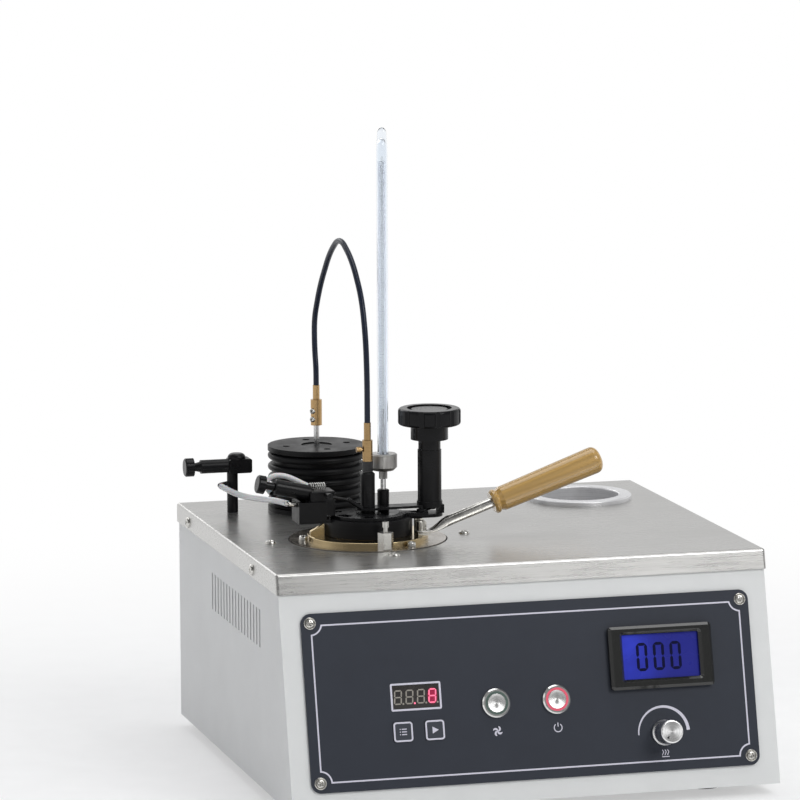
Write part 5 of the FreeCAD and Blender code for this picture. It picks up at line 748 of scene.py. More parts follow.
# The light digits: width over height, stroke, lean, and the place of the four and of their points
DIGIT_COUNT = 4
DIGIT_SHARE = 0.47
DIGIT_STROKE = 0.82 * MM
DIGIT_LEAN = math.radians(4)
DIGIT_SHIFT = (-0.4 * MM, -0.1 * MM)
POINT_RADIUS = 0.62 * MM
POINT_BACK = 0.5 * MM
POINT_UP = 0.4 * MM
LIT_DIGIT = 3
LIT_POINT = 1
LIT_FROM_MIDDLE = (10.85 * MM, -0.2 * MM)

# The meter's digits: their places across, and how far their bars stop short of the full height
METER_ACROSS = (-12.3 * MM, -1.0 * MM, 10.3 * MM)
METER_DOWN = -0.2 * MM
METER_INSET = 1.8 * MM
METER_WIDTH = 5.6 * MM
METER_STROKE = 1.9 * MM
METER_GAP = 0.06

# Bars of a digit: length of the bevel at each end, and width at the tip, as shares of the stroke. A dot's
# tip is a share of its width.
BAR_BEVEL = 0.62
BAR_TIP = 0.12
DOT_POINTS = 13
DOT_TIP = 0.02

SEGMENTS = {
    "a": ((-1, 1), (1, 1)), "b": ((1, 1), (1, 0)), "c": ((1, 0), (1, -1)), "d": ((1, -1), (-1, -1)),
    "e": ((-1, -1), (-1, 0)), "f": ((-1, 0), (-1, 1)), "g": ((-1, 0), (1, 0)),
}


def border_path():
    """The border line: an arc round each corner screw, bent inwards, and a straight side from the end of
    each arc to the start of the next, anticlockwise."""
    corners = [(1, 1, SCREW_HIGH, BORDER_HIGH), (-1, 1, SCREW_HIGH, BORDER_HIGH),
               (-1, -1, SCREW_LOW, BORDER_LOW), (1, -1, SCREW_LOW, BORDER_LOW)]
    parts = []
    for sx, sy, screw_v, edge_v in corners:
        to_side = math.degrees(math.acos((SCREW_X - BORDER_X) / NOTCH))
        to_edge = math.degrees(math.asin(abs(screw_v - edge_v) / NOTCH))
        inward = {(1, 1): (180 + to_side, 180 + to_edge), (-1, 1): (-to_edge, -to_side),
                  (-1, -1): (to_side, to_edge), (1, -1): (180 - to_edge, 180 - to_side)}[(sx, sy)]
        parts.append(arc((sx * SCREW_X, screw_v), NOTCH, *inward, NOTCH_POINTS))
    return np.concatenate(parts)


def digit(lit, centre, height, width, thick, lean, plane, low, high, gap=0.35):
    """A seven-segment digit: each lit bar is a line whose width runs from its tip to full and back. Gap
    is how far the bar stops short of its corner, as a share of its bevel."""
    shapes = []
    for key in lit:
        ends = np.array(SEGMENTS[key], float) * (width / 2, height / 2)
        way = ends[1] - ends[0]
        share = thick * BAR_BEVEL / np.linalg.norm(way)
        steps = np.array([share * gap, share * (1 + gap), 1 - share * (1 + gap), 1 - share * gap])
        path = ends[0] + steps[:, None] * way
        path[:, 0] += path[:, 1] * math.tan(lean)
        shapes.append(ribbon(path + centre, np.array([BAR_TIP, 1, 1, BAR_TIP]) * thick, plane, low, high))
    return shapes


def dot(centre, radius, plane, low, high):
    """A round dot: a line whose half width follows a circle, from one side to the other."""
    turn = np.linspace(0, np.pi, DOT_POINTS)
    path = np.stack([centre[0] - radius * np.cos(turn), centre[1] + 0 * turn], 1)
    return ribbon(path, 2 * radius * np.maximum(np.sin(turn), DOT_TIP), plane, low, high)


def ring_line(radius, width, plane, low, high, count=72):
    """A closed ring of a given width."""
    return ribbon(arc((0, 0), radius, 0, 360 - 360 / count, count), width, plane, low, high, closed=True)


def fan_sign(plane, size, low, high):
    """Four curved blades round a hub: each an arc from the hub, whose width goes as the sine of the way
    along it to the power 0.7, so that it swells and closes."""
    blade_radius, widest, points = 0.46 * size, 0.3844 * size, 9
    shapes = [dot((0, 0), 0.16 * size, plane, low, high)]
    swell = np.sin(np.linspace(0.12, 0.94, points) * np.pi) ** 0.7 * widest
    path = arc((0, blade_radius), blade_radius, -78, 66, points)
    for quarter in range(4):
        turn = quarter * math.pi / 2
        spin = np.array([[math.cos(turn), math.sin(turn)], [-math.sin(turn), math.cos(turn)]])
        shapes.append(ribbon(path @ spin, swell, plane, low, high))
    return shapes


def power_sign(plane, size, low, high):
    """An open circle with a stroke down its gap, both of one width."""
    stroke = 0.24 * size
    return [ribbon(arc((0, 0), size, 125, 415, 40), stroke, plane, low, high),
            ribbon([(0, 1.25 * size), (0, 0.25 * size)], stroke, plane, low, high)]


def heat_sign(plane, size, low, high):
    """Three waves over a bar: each rises straight, and sways as the sine of its height."""
    rise = np.linspace(-0.55, 1.0, 21)
    shapes = [ribbon([(-1.1 * size, -0.95 * size), (1.1 * size, -0.95 * size)], 0.24 * size,
                     plane, low, high)]
    for x in (-0.75, 0, 0.75):
        path = np.stack([x + 0.17 * np.sin(rise * 4.2), rise], 1) * size
        shapes.append(ribbon(path, 0.22 * size, plane, low, high))
    return shapes


def list_sign(plane, size, low, high):
    """Three bars with a dot before each, for choosing a method."""
    shapes = []
    for level in (-0.8, 0, 0.8):
        shapes.append(ribbon([(-0.45 * size, level * size), (1.1 * size, level * size)], 0.3 * size,
                             plane, low, high))
        shapes.append(dot((-0.95 * size, level * size), 0.17 * size, plane, low, high))
    return shapes


def start_sign(plane, size, low, high):
    """A wedge that points on, for starting."""
    return [ribbon([(-0.8 * size, 0), (1.1 * size, 0)], np.array([2.1, 0.05]) * size, plane, low, high)]


def print_panel(sizes, colours):
    """The panel's border, the frame of the light digits, the heat arc and the signs under the controls."""
    ink = printed("panel_ink", colours.ink)
    low, high = 0.0, sizes.ink
    make_piece("panel_border", [ribbon(border_path(), sizes.border_width, FRONT, low, high, closed=True)],
               ink, "case")
    window = FRONT.moved(*LED_PLACE)
    frame_line = ribbon(rounded_box(*LED_HALF, LED_CORNER, 4), LED_FRAME_WIDTH, window,
                        LED_FACE, LED_FRAME_TOP, closed=True)
    make_piece("digit_frame", [frame_line], ink, "case")
    knob = FRONT.moved(*KNOB_PLACE)
    swell = np.linspace(*HEAT_ARC_WIDTHS, HEAT_ARC_POINTS) * MM
    heat_path = arc((0, 0), HEAT_ARC_RADIUS, *HEAT_ARC_ANGLES, HEAT_ARC_POINTS)
    make_piece("heat_arc", [ribbon(heat_path, swell, knob, low, high)], ink, "case")
    signs = fan_sign(FRONT.moved(FAN_PLACE[0], FAN_SIGN[0]), FAN_SIGN[1], low, high)
    signs += power_sign(FRONT.moved(POWER_PLACE[0], POWER_SIGN[0]), POWER_SIGN[1], low, high)
    signs += heat_sign(FRONT.moved(KNOB_PLACE[0] + HEAT_SIGN_SHIFT, HEAT_SIGN[0]), HEAT_SIGN[1], low, high)
    make_piece("panel_signs", signs, ink, "case")
    for body, node, sign in (("left_key", "key_left", list_sign), ("right_key", "key_right", start_sign)):
        key = FRONT.moved(*KEY_PLACES[body], KEY_FACE)
        outline = ribbon(rounded_box(KEY_HALF, KEY_HALF, KEY_CORNER), sizes.outline_width, key,
                         low, high, closed=True)
        make_piece(node + "_outline", [outline], ink, body)
        make_piece(node + "_sign", sign(key, KEY_SIGN, low, high), ink, body)


def make_displays(sizes, colours):
    """The four light digits behind their window, the last one lit, and the meter's three digits."""
    off = printed("digit_dark", colours.digit_off)
    on = printed("digit_lit", colours.digit_on, 0.85)
    low, high = LED_FACE, LED_FACE + sizes.ink
    height, pitch = sizes.digit_height, sizes.digit_pitch
    window = FRONT.moved(*LED_PLACE)
    dark, lit = [], []
    for index in range(DIGIT_COUNT):
        middle = ((index - (DIGIT_COUNT - 1) / 2) * pitch + DIGIT_SHIFT[0], DIGIT_SHIFT[1])
        bars = digit("abcdefg", middle, height - DIGIT_STROKE, DIGIT_SHARE * height, DIGIT_STROKE, DIGIT_LEAN,
                     window, low, high)
        foot = (middle[0] + 0.5 * pitch - POINT_BACK, middle[1] - height / 2 + POINT_UP)
        (lit if index == LIT_DIGIT else dark).extend(bars)
        (lit if index == LIT_POINT else dark).append(dot(foot, POINT_RADIUS, window, low, high))
    make_piece("dark_digits", dark, off, "case")
    make_piece("lit_digits", lit, on, "case")
    meter = FRONT.moved(*METER_PLACE)
    numbers = []
    for across in METER_ACROSS:
        numbers += digit("abcdef", (across, METER_DOWN), sizes.meter_digit - METER_INSET, METER_WIDTH,
                         METER_STROKE, 0.0, meter, METER_FACE, METER_FACE + sizes.ink, METER_GAP)
    make_piece("meter_digits", numbers, printed("meter_ink", colours.screen_ink, gloss=0.1), "case")


def display_finishes(colours):
    """The dark red window with the glow of its lit digit, the blue screen and the meter's glossy bezel."""
    window = Finish("digit_window", specular_ior_level=0.5, coat_weight=0.5, coat_roughness=0.08)
    grain = window.group("grain", Size=900.0)
    tree = window.tree
    lit = FRONT.moved(*LED_PLACE).at(*LIT_FROM_MIDDLE, LED_FACE)
    from_lit = combine_vectors(tree, "SUBTRACT", window.vector, tuple(lit))
    flat = combine_vectors(tree, "MULTIPLY", from_lit, (1.0, 0.65, 0.65))
    apart = add(tree, "ShaderNodeVectorMath", {0: flat}, operation="LENGTH").outputs["Value"]
    near = spread(tree, apart, 2.0 * MM, 4.0 * MM, 1.0, 0.0, smooth=True)
    tone = blend_colour(tree, grain.outputs["Cloud"], (0.018, 0.015, 0.014), (0.030, 0.026, 0.024))
    window.colour(near, tone, (0.12, 0.004, 0.02))
    window.roughness(grain.outputs["Cloud"], 0.22, 0.34)
    window.glow(blend_colour(tree, near, (0, 0, 0), (0.30, 0.004, 0.045)), 0.8)
    dress(["led_display"], window.material)

    centre = FRONT.at(*METER_PLACE, METER_FACE)
    screen = Finish("meter_screen", centre, ON_FRONT, specular_ior_level=0.25, coat_weight=0.15,
                    coat_roughness=0.05)
    tree = screen.tree
    apart = add(tree, "ShaderNodeSeparateXYZ", {0: screen.vector})
    left = spread(tree, apart.outputs[0], -25 * MM, 8 * MM, 1.0, 0.0, smooth=True)
    soft = noise(tree, screen.vector, 45.0, 2.0)
    light = combine(tree, "MULTIPLY", left, spread(tree, soft, 0.3, 0.7, 0.35, 1.0))
    tone = screen.colour(light, colours.screen, (0.020, 0.034, 0.42))
    screen.roughness(soft, 0.2, 0.35)
    screen.glow(tone, 0.45)
    dress(["meter_lcd"], screen.material)

    bezel = grained("meter_bezel_plastic", (0.012, 0.0125, 0.0115), size=1600.0, rough=(0.10, 0.2),
                    depth=0.004, coat_weight=0.5, coat_roughness=0.06)
    dress(["meter_bezel"], bezel)


# Buttons, knob and screws

def dress_controls(colours):
    """Halo rings, spun caps, the heat knob with its mark, the bezels and the key caps. A cap is turned: its
    face sinks by the dish times one less the square of the way out from the axis, as a share."""
    for name, place, colour, strength in (("fan_halo", FAN_PLACE, colours.fan_halo, 0.0),
                                          ("power_halo", POWER_PLACE, colours.power_halo, 0.45)):
        ring = ring_line(HALO_RADIUS, HALO_WIDTH, FRONT.moved(*place, BEZEL_RISE), HALO_LOW, HALO_TOP)
        make_piece(name, [ring], printed(name + "_lens", colour, strength), "case")
    across = np.linspace(1, 0, CAP_POINTS)
    dish = np.stack([CAP_RADIUS * across * CAP_FLAT_SHARE, CAP_RISE - CAP_DISH * (1 - across ** 2)], 1)
    side = [(0, -CAP_DEPTH), (CAP_RADIUS, -CAP_DEPTH), (CAP_RADIUS, CAP_RISE - CAP_EDGE)]
    profile = np.concatenate([side, dish])
    for body, place in (("fan_button", FAN_PLACE), ("power_button", POWER_PLACE)):
        centre = tuple(FRONT.at(*place, 0.0))
        spun = turned_metal(body + "_spun", (0.93, 0.93, 0.92), centre, ON_FRONT, rough=(0.24, 0.30),
                            lines=1900.0, depth=0.0012, axis=FRONT_OUT, anisotropy=0.8)
        cap = turned(profile, CAP_SIDES, centre, rows_turn(FRONT_OUT, FRONT_UP))
        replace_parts(make_piece(body + "_face", [cap], spun, body), body + "_cap")
    centre = tuple(FRONT.at(*KNOB_PLACE, 0.0))
    dress(["heat_knob"],
          turned_metal("heat_knob_spun", (0.93, 0.93, 0.93), centre, ON_FRONT, rough=(0.24, 0.34),
                       lines=2200.0, depth=0.0015, axis=FRONT_OUT, anisotropy=0.6))
    face = FRONT.moved(*KNOB_PLACE, KNOB_LENGTH)
    mark = ribbon(KNOB_MARK, KNOB_MARK_WIDTH, face, KNOB_MARK_LOW, KNOB_MARK_TOP)
    make_piece("knob_mark", [mark], printed("mark_ink", (0.02, 0.02, 0.022)), "heat_knob")
    centre = tuple(FRONT.at(*FAN_PLACE, 0.0))
    dress(["button_bezels"],
          turned_metal("bezel_chrome", (0.84, 0.84, 0.83), centre, ON_FRONT, rough=(0.08, 0.18), lines=900.0))
    dress(["key_left", "key_right"],
          grained("key_caps", shade(colours.panel, 1.15), size=1500.0, rough=(0.4, 0.5), depth=0.006))


# Radius and rise of the head, radius and length of the shank, reach and width of the cross's arms, and the
# radius of the cup washer, if there is one
ScrewKind = namedtuple("ScrewKind", "radius rise shank length arm width washer")
PANEL_SCREW = ScrewKind(2.7 * MM, 1.45 * MM, 1.45 * MM, 5.4 * MM, 1.8 * MM, 0.95 * MM, 4.0 * MM)
CASE_SCREW = ScrewKind(3.7 * MM, 1.85 * MM, 1.9 * MM, 6 * MM, 2.4 * MM, 0.95 * MM, None)
DISC_SCREW = ScrewKind(2.9 * MM, 3.35 * MM, 1.9 * MM, 4 * MM, 1.9 * MM, 0.8 * MM, None)
SET_SCREW = ScrewKind(1.95 * MM, 1.75 * MM, 1.25 * MM, 1.8 * MM, 1.25 * MM, 0.6 * MM, None)
SCREW_SIDES = 72
RIM_POINTS = 6
TOP_POINTS = 18
# Each cross is turned at random by up to this angle, in radians
SCREW_SEED = 7
SPIN_MOST = 1.5

# Shares of a head's radius at which its rim starts, its top grid starts and its cross fades
RIM_SHARE = 0.84
TOP_SHARE = 0.80
FADE_SHARE = 0.10
# Shares of a head's rise by which it crowns, its rim drops and its cross sinks
CROWN_SHARE = 0.30
RIM_DROP = 0.45
CROSS_DEPTH = 0.75

# Rings of screws on the plate, those in the flange, and those in the heating disc
HEATER_RING = 65.5 * MM
FLANGE_X = 163 * MM
FLANGE_Y = (-55 * MM, 125.5 * MM)
FLANGE_Z = 147.2 * MM
DISC_RING = 42.9 * MM
DISC_START = 56
DISC_RISE = 0.5 * MM


def cup_washer(kind):
    """The profile of a cup washer, from its outer foot over its crest and down to the screw's head."""
    radius, rise, outer = kind.radius, kind.rise, kind.washer
    crest = 0.5 * (outer + 1.14 * radius)
    return [(outer, 0), (outer, 0.2 * rise), (0.5 * (outer + crest), 0.55 * rise), (crest, 0.62 * rise),
            (1.14 * radius, 0.35 * rise), (1.05 * radius, 0.05 * rise)]


def screw(kind, place, turn, spin):
    """A pan head screw: a profile turned round Z. Its top crowns by the square of the distance from the
    axis, and a cross sinks it: the larger of two arms, each the product of how far a point lies inside the
    arm's width and inside its length."""
    radius, rise = kind.radius, kind.rise
    across = np.concatenate([np.linspace(1, RIM_SHARE, RIM_POINTS), np.linspace(TOP_SHARE, 0, TOP_POINTS)])
    past_rim = np.maximum(across - RIM_SHARE, 0) / (1 - RIM_SHARE)
    top = rise * (1 - CROWN_SHARE * across ** 2) - rise * RIM_DROP * past_rim ** 2
    under = [(0, -kind.length), (kind.shank, -kind.length), (kind.shank, 0)]
    if kind.washer:
        under += cup_washer(kind)
    under.append((radius, 0.05 * rise if kind.washer else 0.0))
    profile = np.array(under + list(zip(across * radius, top)))
    points, faces = turned(profile, SCREW_SIDES)
    grid = points.reshape(len(profile), SCREW_SIDES, 3)
    tops = grid[len(under):]
    cosine, sine = math.cos(spin), math.sin(spin)
    x = tops[..., 0] * cosine + tops[..., 1] * sine
    y = tops[..., 1] * cosine - tops[..., 0] * sine
    fade = FADE_SHARE * radius
    arms = [np.clip((kind.width / 2 - np.abs(a)) / fade + 0.5, 0, 1)
            * np.clip((kind.arm - np.abs(b)) / fade, 0, 1) for a, b in ((x, y), (y, x))]
    tops[..., 2] -= CROSS_DEPTH * rise * np.maximum(*arms)
    return grid.reshape(-1, 3) @ np.asarray(turn, float) + np.asarray(place), faces


def rows_turn(out, up):
    """Rows of a turn that sends Z to the way out and Y near the way up."""
    out, up = np.asarray(out, float), np.asarray(up, float)
    return np.stack([np.cross(up, out), up, out])


def make_screws():
    """The cross-head screws in the panel, the plate, the case's sides and the heating disc."""
    rng = np.random.default_rng(SCREW_SEED)
    metal = turned_metal("screw_nickel", NICKEL, (0, 0, 0), rough=(0.16, 0.3), lines=700.0)
    on_panel = rows_turn(FRONT_OUT, FRONT_UP)
    heads = [screw(PANEL_SCREW, FRONT.at(side * SCREW_X, v, 0.0), on_panel, rng.uniform(0, SPIN_MOST))
             for side in (-1, 1) for v in (SCREW_LOW, SCREW_HIGH)]
    piece = make_piece("panel_screw_heads", heads, metal, "case", SCREW_SHARP_ABOVE)
    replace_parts(piece, "panel_screws")
    upright = np.eye(3)
    places = [((CUP_AXIS[0] + HEATER_RING * math.cos(quarter * math.pi / 2),
                CUP_AXIS[1] + HEATER_RING * math.sin(quarter * math.pi / 2), PLATE_TOP), upright)
              for quarter in range(4)]
    places += [((side * FLANGE_X, y, FLANGE_Z), rows_turn((side, 0, 0), (0, 0, 1)))
               for y in FLANGE_Y for side in (-1, 1)]
    heads = [screw(CASE_SCREW, place, turn, rng.uniform(0, SPIN_MOST)) for place, turn in places]
    piece = make_piece("case_screw_heads", heads, metal, "case", SCREW_SHARP_ABOVE)
    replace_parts(piece, "case_screws")
    heads = []
    for third in range(3):
        angle = math.radians(DISC_START + 120 * third)
        place = (CUP_AXIS[0] + DISC_RING * math.cos(angle), CUP_AXIS[1] + DISC_RING * math.sin(angle),
                 PLATE_TOP + DISC_RISE)
        heads.append(screw(DISC_SCREW, place, upright, rng.uniform(0, SPIN_MOST)))
    piece = make_piece("disc_screw_heads", heads, metal, "case", SCREW_SHARP_ABOVE)
    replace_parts(piece, "disc_screws")


# Thermometer and hoses

def glass(name, tint=(0.90, 0.94, 0.985), rough=0.02):
    """Clear glass with the faint draw lines of a pulled tube, which lets lamp light through."""
    finish = Finish(name, (*THERMO_AXIS, 0), transmission_weight=1.0, ior=1.47, roughness=rough)
    streaks = finish.group("streaks", Lines=(900.0, 900.0, 12.0))
    finish.colour(streaks.outputs["Streaks"], shade(tint, 0.97), tint)
    finish.bump(streaks.outputs["Streaks"], 0.001 * MM, 0.3)
    tree = finish.tree
    ray = add(tree, "ShaderNodeLightPath").outputs
    clear = add(tree, "ShaderNodeBsdfTransparent", {"Color": (*shade(tint, 0.96), 1.0)})
    mix = add(tree, "ShaderNodeMixShader", {0: ray["Is Shadow Ray"], 1: finish.shader.outputs[0],
                                            2: clear.outputs[0]})
    tree.links.new(mix.outputs[0], tree.nodes["Material Output"].inputs["Surface"])
    return finish.material


SHEATH_BASE = PLATE_TOP + 45.6 * MM
SHEATH_TOP = PLATE_TOP + 268.35 * MM
SHEATH_WALL = 0.75 * MM
# The sheath narrows from the shoulder on, over the run, to its tip, which ends in a dome
SHOULDER_DOWN = 15 * MM
SHOULDER_RUN = 11 * MM
TIP_RADIUS = 2.95 * MM
DOME = 4 * MM
HOLLOW_DOWN = 16 * MM
HOLLOW_DOME = 9 * MM
HOLLOW_FLOOR = 1.5 * MM
DOME_POINTS = 12
SHOULDER_POINTS = 9
GLASS_SIDES = 48
# The scale strip: its ends, width and faces, and the reach of its long, middle and short marks in mm
SCALE_LOW = SHEATH_BASE + 8 * MM
SCALE_HIGH = SHEATH_TOP - 26 * MM
SCALE_PAST = 4 * MM
SCALE_WIDTH = 5.0 * MM
SCALE_BACK = -1.0 * MM
SCALE_FACE = -0.6 * MM
MARK_TOP = -0.56 * MM
MARK_LEFT = -1.95
MARK_REACH = (3.4, 2.6, 1.9)
MARK_BOLD = 0.24
MARK_FINE = 0.16
# The capillary stands a little in front of the strip, with its thread inside
BORE_PLACE = (THERMO_AXIS[0], THERMO_AXIS[1] - 0.4 * MM, 0)
BORE_RADIUS = 0.75 * MM
BORE_FOOT = 2 * MM
BORE_DOWN = 20 * MM
BORE_POINT_RADIUS = 0.5 * MM
BORE_POINT_DOWN = 19.3 * MM
BORE_TIP_DOWN = 19 * MM
BORE_SIDES = 20
THREAD_RADIUS = 0.22 * MM
THREAD_FOOT = 2.2 * MM
THREAD_HIGH = 38 * MM
THREAD_TIP = 38.2 * MM
THREAD_SIDES = 12


def make_sheath(radius):
    """The closed glass sheath: a turned outside that eases in by 3e^2 - 2e^3 and closes in a quarter
    ellipse, and a turned hollow inside it with a longer one."""
    bend = np.linspace(0, np.pi / 2, DOME_POINTS)
    ease = np.linspace(0, 1, SHOULDER_POINTS)[1:]
    outer = [(0, SHEATH_BASE), (radius, SHEATH_BASE), (radius, SHEATH_TOP - SHOULDER_DOWN)]
    outer += list(zip(radius - (radius - TIP_RADIUS) * (3 * ease ** 2 - 2 * ease ** 3),
                      SHEATH_TOP - SHOULDER_DOWN + ease * SHOULDER_RUN))
    outer += list(zip(TIP_RADIUS * np.cos(bend)[1:], SHEATH_TOP - DOME + DOME * np.sin(bend)[1:]))
    inside = radius - SHEATH_WALL
    inner = list(zip(inside * np.cos(bend)[::-1],
                     SHEATH_TOP - HOLLOW_DOWN + HOLLOW_DOME * np.sin(bend)[::-1]))
    inner += [(inside, SHEATH_BASE + HOLLOW_FLOOR), (0, SHEATH_BASE + HOLLOW_FLOOR)]
    place = (*THERMO_AXIS, 0)
    walls = [turned(profile, GLASS_SIDES, place) for profile in (outer, inner)]
    sheath = make_piece("thermometer_sheath", walls, glass("sheath_glass"), "thermometer")
    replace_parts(sheath, "thermometer")


def make_scale(mark_count):
    """The opal strip with a line across it for each degree, longer at every fifth and at every tenth."""
    strip = Plane((*THERMO_AXIS, 0), ACROSS, (0, 0, 1))
    opal = grained("scale_opal", (0.95, 0.94, 0.97), size=2500.0, rough=(0.3, 0.4), depth=0.002)
    plate = ribbon([(0, SCALE_LOW - SCALE_PAST), (0, SCALE_HIGH + SCALE_PAST)], SCALE_WIDTH, strip,
                   SCALE_BACK, SCALE_FACE)
    make_piece("thermometer_scale", [plate], opal, "thermometer")
    marks = []
    for index, level in enumerate(np.linspace(SCALE_LOW, SCALE_HIGH, mark_count + 1)):
        rank = 0 if index % 10 == 0 else 1 if index % 5 == 0 else 2
        path = [(MARK_LEFT * MM, level), ((MARK_REACH[rank] + MARK_LEFT) * MM, level)]
        width = (MARK_FINE if rank == 2 else MARK_BOLD) * MM
        marks.append(ribbon(path, width, strip, SCALE_FACE, MARK_TOP))
    make_piece("thermometer_marks", marks, printed("scale_ink", (0.62, 0.61, 0.68)), "thermometer")


def make_capillary():
    """The turned capillary with a pointed top, and the silver thread that stands in its foot."""
    bore = [(0, SHEATH_BASE + BORE_FOOT), (BORE_RADIUS, SHEATH_BASE + BORE_FOOT),
            (BORE_RADIUS, SHEATH_TOP - BORE_DOWN), (BORE_POINT_RADIUS, SHEATH_TOP - BORE_POINT_DOWN),
            (0, SHEATH_TOP - BORE_TIP_DOWN)]
    make_piece("thermometer_capillary", [turned(bore, BORE_SIDES, BORE_PLACE)],
               glass("capillary_glass", (0.95, 0.95, 0.93)), "thermometer")
    thread = [(0, SHEATH_BASE + THREAD_FOOT), (THREAD_RADIUS, SHEATH_BASE + THREAD_FOOT),
              (THREAD_RADIUS, SHEATH_BASE + THREAD_HIGH), (0, SHEATH_BASE + THREAD_TIP)]
    silver = turned_metal("thread_silver", (0.6, 0.6, 0.62), (*THERMO_AXIS, 0), rough=(0.08, 0.15))
    make_piece("thermometer_thread", [turned(thread, THREAD_SIDES, BORE_PLACE)], silver, "thermometer")


def silicone():
    """Clear soft tubing seen as milky white, with a faint bloom."""
    finish = Finish("silicone_tube", subsurface_weight=0.25, subsurface_scale=0.002, coat_weight=0.25,
                    coat_roughness=0.2, transmission_weight=0.12, ior=1.41)
    grain = finish.group("grain", Size=700.0)
    finish.colour(grain.outputs["Cloud"], (0.66, 0.68, 0.69), (0.80, 0.81, 0.81))
    finish.roughness(grain.outputs["Grain"], 0.25, 0.4)
    finish.bump(grain.outputs["Grain"], 0.01 * MM, 0.3)
    return finish.material


def lay_hose(name, route, diameter, body, finish):
    """A hose on one smooth line: a NURBS spline with the route's points as its control points."""
    curve = bpy.data.curves.new(name, "CURVE")
    curve.dimensions = "3D"
    curve.bevel_depth = diameter / 2
    curve.bevel_resolution = 6
    curve.resolution_u = 12
    curve.use_fill_caps = True
    spline = curve.splines.new("NURBS")
    spline.points.add(len(route) - 1)
    spline.points.foreach_set("co", np.column_stack([route, np.ones(len(route))]).ravel())
    spline.order_u = 3
    spline.use_endpoint_u = True
    curve.materials.append(finish)
    hose = bpy.data.objects.new(name, curve)
    bpy.context.scene.collection.objects.link(hose)
    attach(hose, body)
    return hose


def make_hoses(sizes):
    """The gas hose from the post to the lid and the short hose from the elbow to the lid's valve."""
    finish = silicone()
    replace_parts(lay_hose("gas_tube", GAS_HOSE, sizes.gas_hose, "case", finish), "gas_hose")
    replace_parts(lay_hose("lid_tube", LID_HOSE, sizes.lid_hose, "lid", finish), "lid_hose")


# Handle, valve barrel and coupling screws

TANG_START = -46.0 * MM
TANG_ROUND = 4.0 * MM
TANG_BEND = -37.5 * MM
TANG_MIDDLE = 160.95 * MM
TANG_HALF = 0.75 * MM
HANDLE_Y = -23.6 * MM
TUBE_ROOT = np.array([-39.2, 161.2]) * MM
TUBE_WAY = np.array([math.cos(HANDLE_CLIMB), math.sin(HANDLE_CLIMB)])
TUBE_ROUND_AT = 18.4 * MM
TUBE_END = 58.0 * MM
TUBE_RADIUS = 3.5 * MM
TUBE_SIDES = 48
TIP_ROWS = 9
FLAT_ROWS = 3
BEND_ROWS = 24
STRAIGHT_ROWS = 11
# The tang's tip never closes past this share of its width, and its section's power falls to a circle's
TIP_LEAST = 0.05
FLAT_POWER = 6
ROUND_POWER = 2

# Where the tube leaves its bracket, and its turn from upright, for patterns along it
HANDLE_START = (CUP_AXIS[0] + 34.2 * MM, HANDLE_Y, PLATE_TOP + 6.2 * MM)
HANDLE_LEAN = (0, math.pi / 2 - HANDLE_CLIMB, 0)


def make_handle_tube():
    """A tube pressed flat at its low end, as a grid of sections: the middle line runs level along the flat,
    bends up as a cubic (2s^3-3s^2+1)A + (s^3-2s^2+s)a + (3s^2-2s^3)B + (s^3-s^2)b, and goes on straight.
    Each section is |y/w|^n + |h/t|^n = 1, with w, t and n eased from the flat's to the round tube's."""
    tip = np.sin(np.linspace(0, np.pi / 2, TIP_ROWS))
    level = np.concatenate([TANG_START + TANG_ROUND * (1 - np.cos(np.arcsin(tip))),
                            np.linspace(TANG_START + TANG_ROUND, TANG_BEND, FLAT_ROWS + 1)[1:]])
    flat = np.stack([level, np.full(len(level), TANG_MIDDLE)], 1)
    step = np.linspace(0, 1, BEND_ROWS + 1)[1:, None]
    start, end = flat[-1], TUBE_ROOT + TUBE_ROUND_AT * TUBE_WAY
    pull = np.linalg.norm(end - start)
    bend = ((2 * step ** 3 - 3 * step ** 2 + 1) * start + (step ** 3 - 2 * step ** 2 + step) * (pull, 0)
            + (3 * step ** 2 - 2 * step ** 3) * end + (step ** 3 - step ** 2) * pull * TUBE_WAY)
    along = np.linspace(TUBE_ROUND_AT, TUBE_END, STRAIGHT_ROWS + 1)[1:, None]
    line = np.concatenate([flat, bend, TUBE_ROOT + along * TUBE_WAY])
    ease = np.concatenate([np.zeros(len(flat)), (3 * step ** 2 - 2 * step ** 3)[:, 0],
                           np.ones(STRAIGHT_ROWS)])
    narrow = np.ones(len(line))
    narrow[:TIP_ROWS] = np.maximum(tip, TIP_LEAST)
    way = unit(np.gradient(line, axis=0))
    rise = np.stack([-way[:, 1], way[:, 0]], 1)
    wide = narrow * (TANG_ROUND + (TUBE_RADIUS - TANG_ROUND) * ease)
    thick = TANG_HALF + (TUBE_RADIUS - TANG_HALF) * ease
    power = 2 / (FLAT_POWER - (FLAT_POWER - ROUND_POWER) * ease)
    angle = np.linspace(0, 2 * np.pi, TUBE_SIDES, endpoint=False)
    cosine, sine = np.cos(angle), np.sin(angle)
    y = wide[:, None] * np.sign(cosine) * np.abs(cosine) ** power[:, None]
    h = thick[:, None] * np.sign(sine) * np.abs(sine) ** power[:, None]
    points = np.stack([line[:, :1] + h * rise[:, :1], HANDLE_Y + y, line[:, 1:] + h * rise[:, 1:]], -1)
    first, last = [[points[row].mean(0)] * TUBE_SIDES for row in (0, -1)]
    points = np.concatenate([[first], points, [last]]).reshape(-1, 3)
    faces = grid_faces(len(line) + 2, TUBE_SIDES, wrap_columns=True)
    steel = turned_metal("tube_steel", NICKEL, HANDLE_START, HANDLE_LEAN, rough=(0.14, 0.28), lines=900.0)
    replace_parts(make_piece("handle_tube_pressed", [(points, faces)], steel, "cup"), "handle_tube")


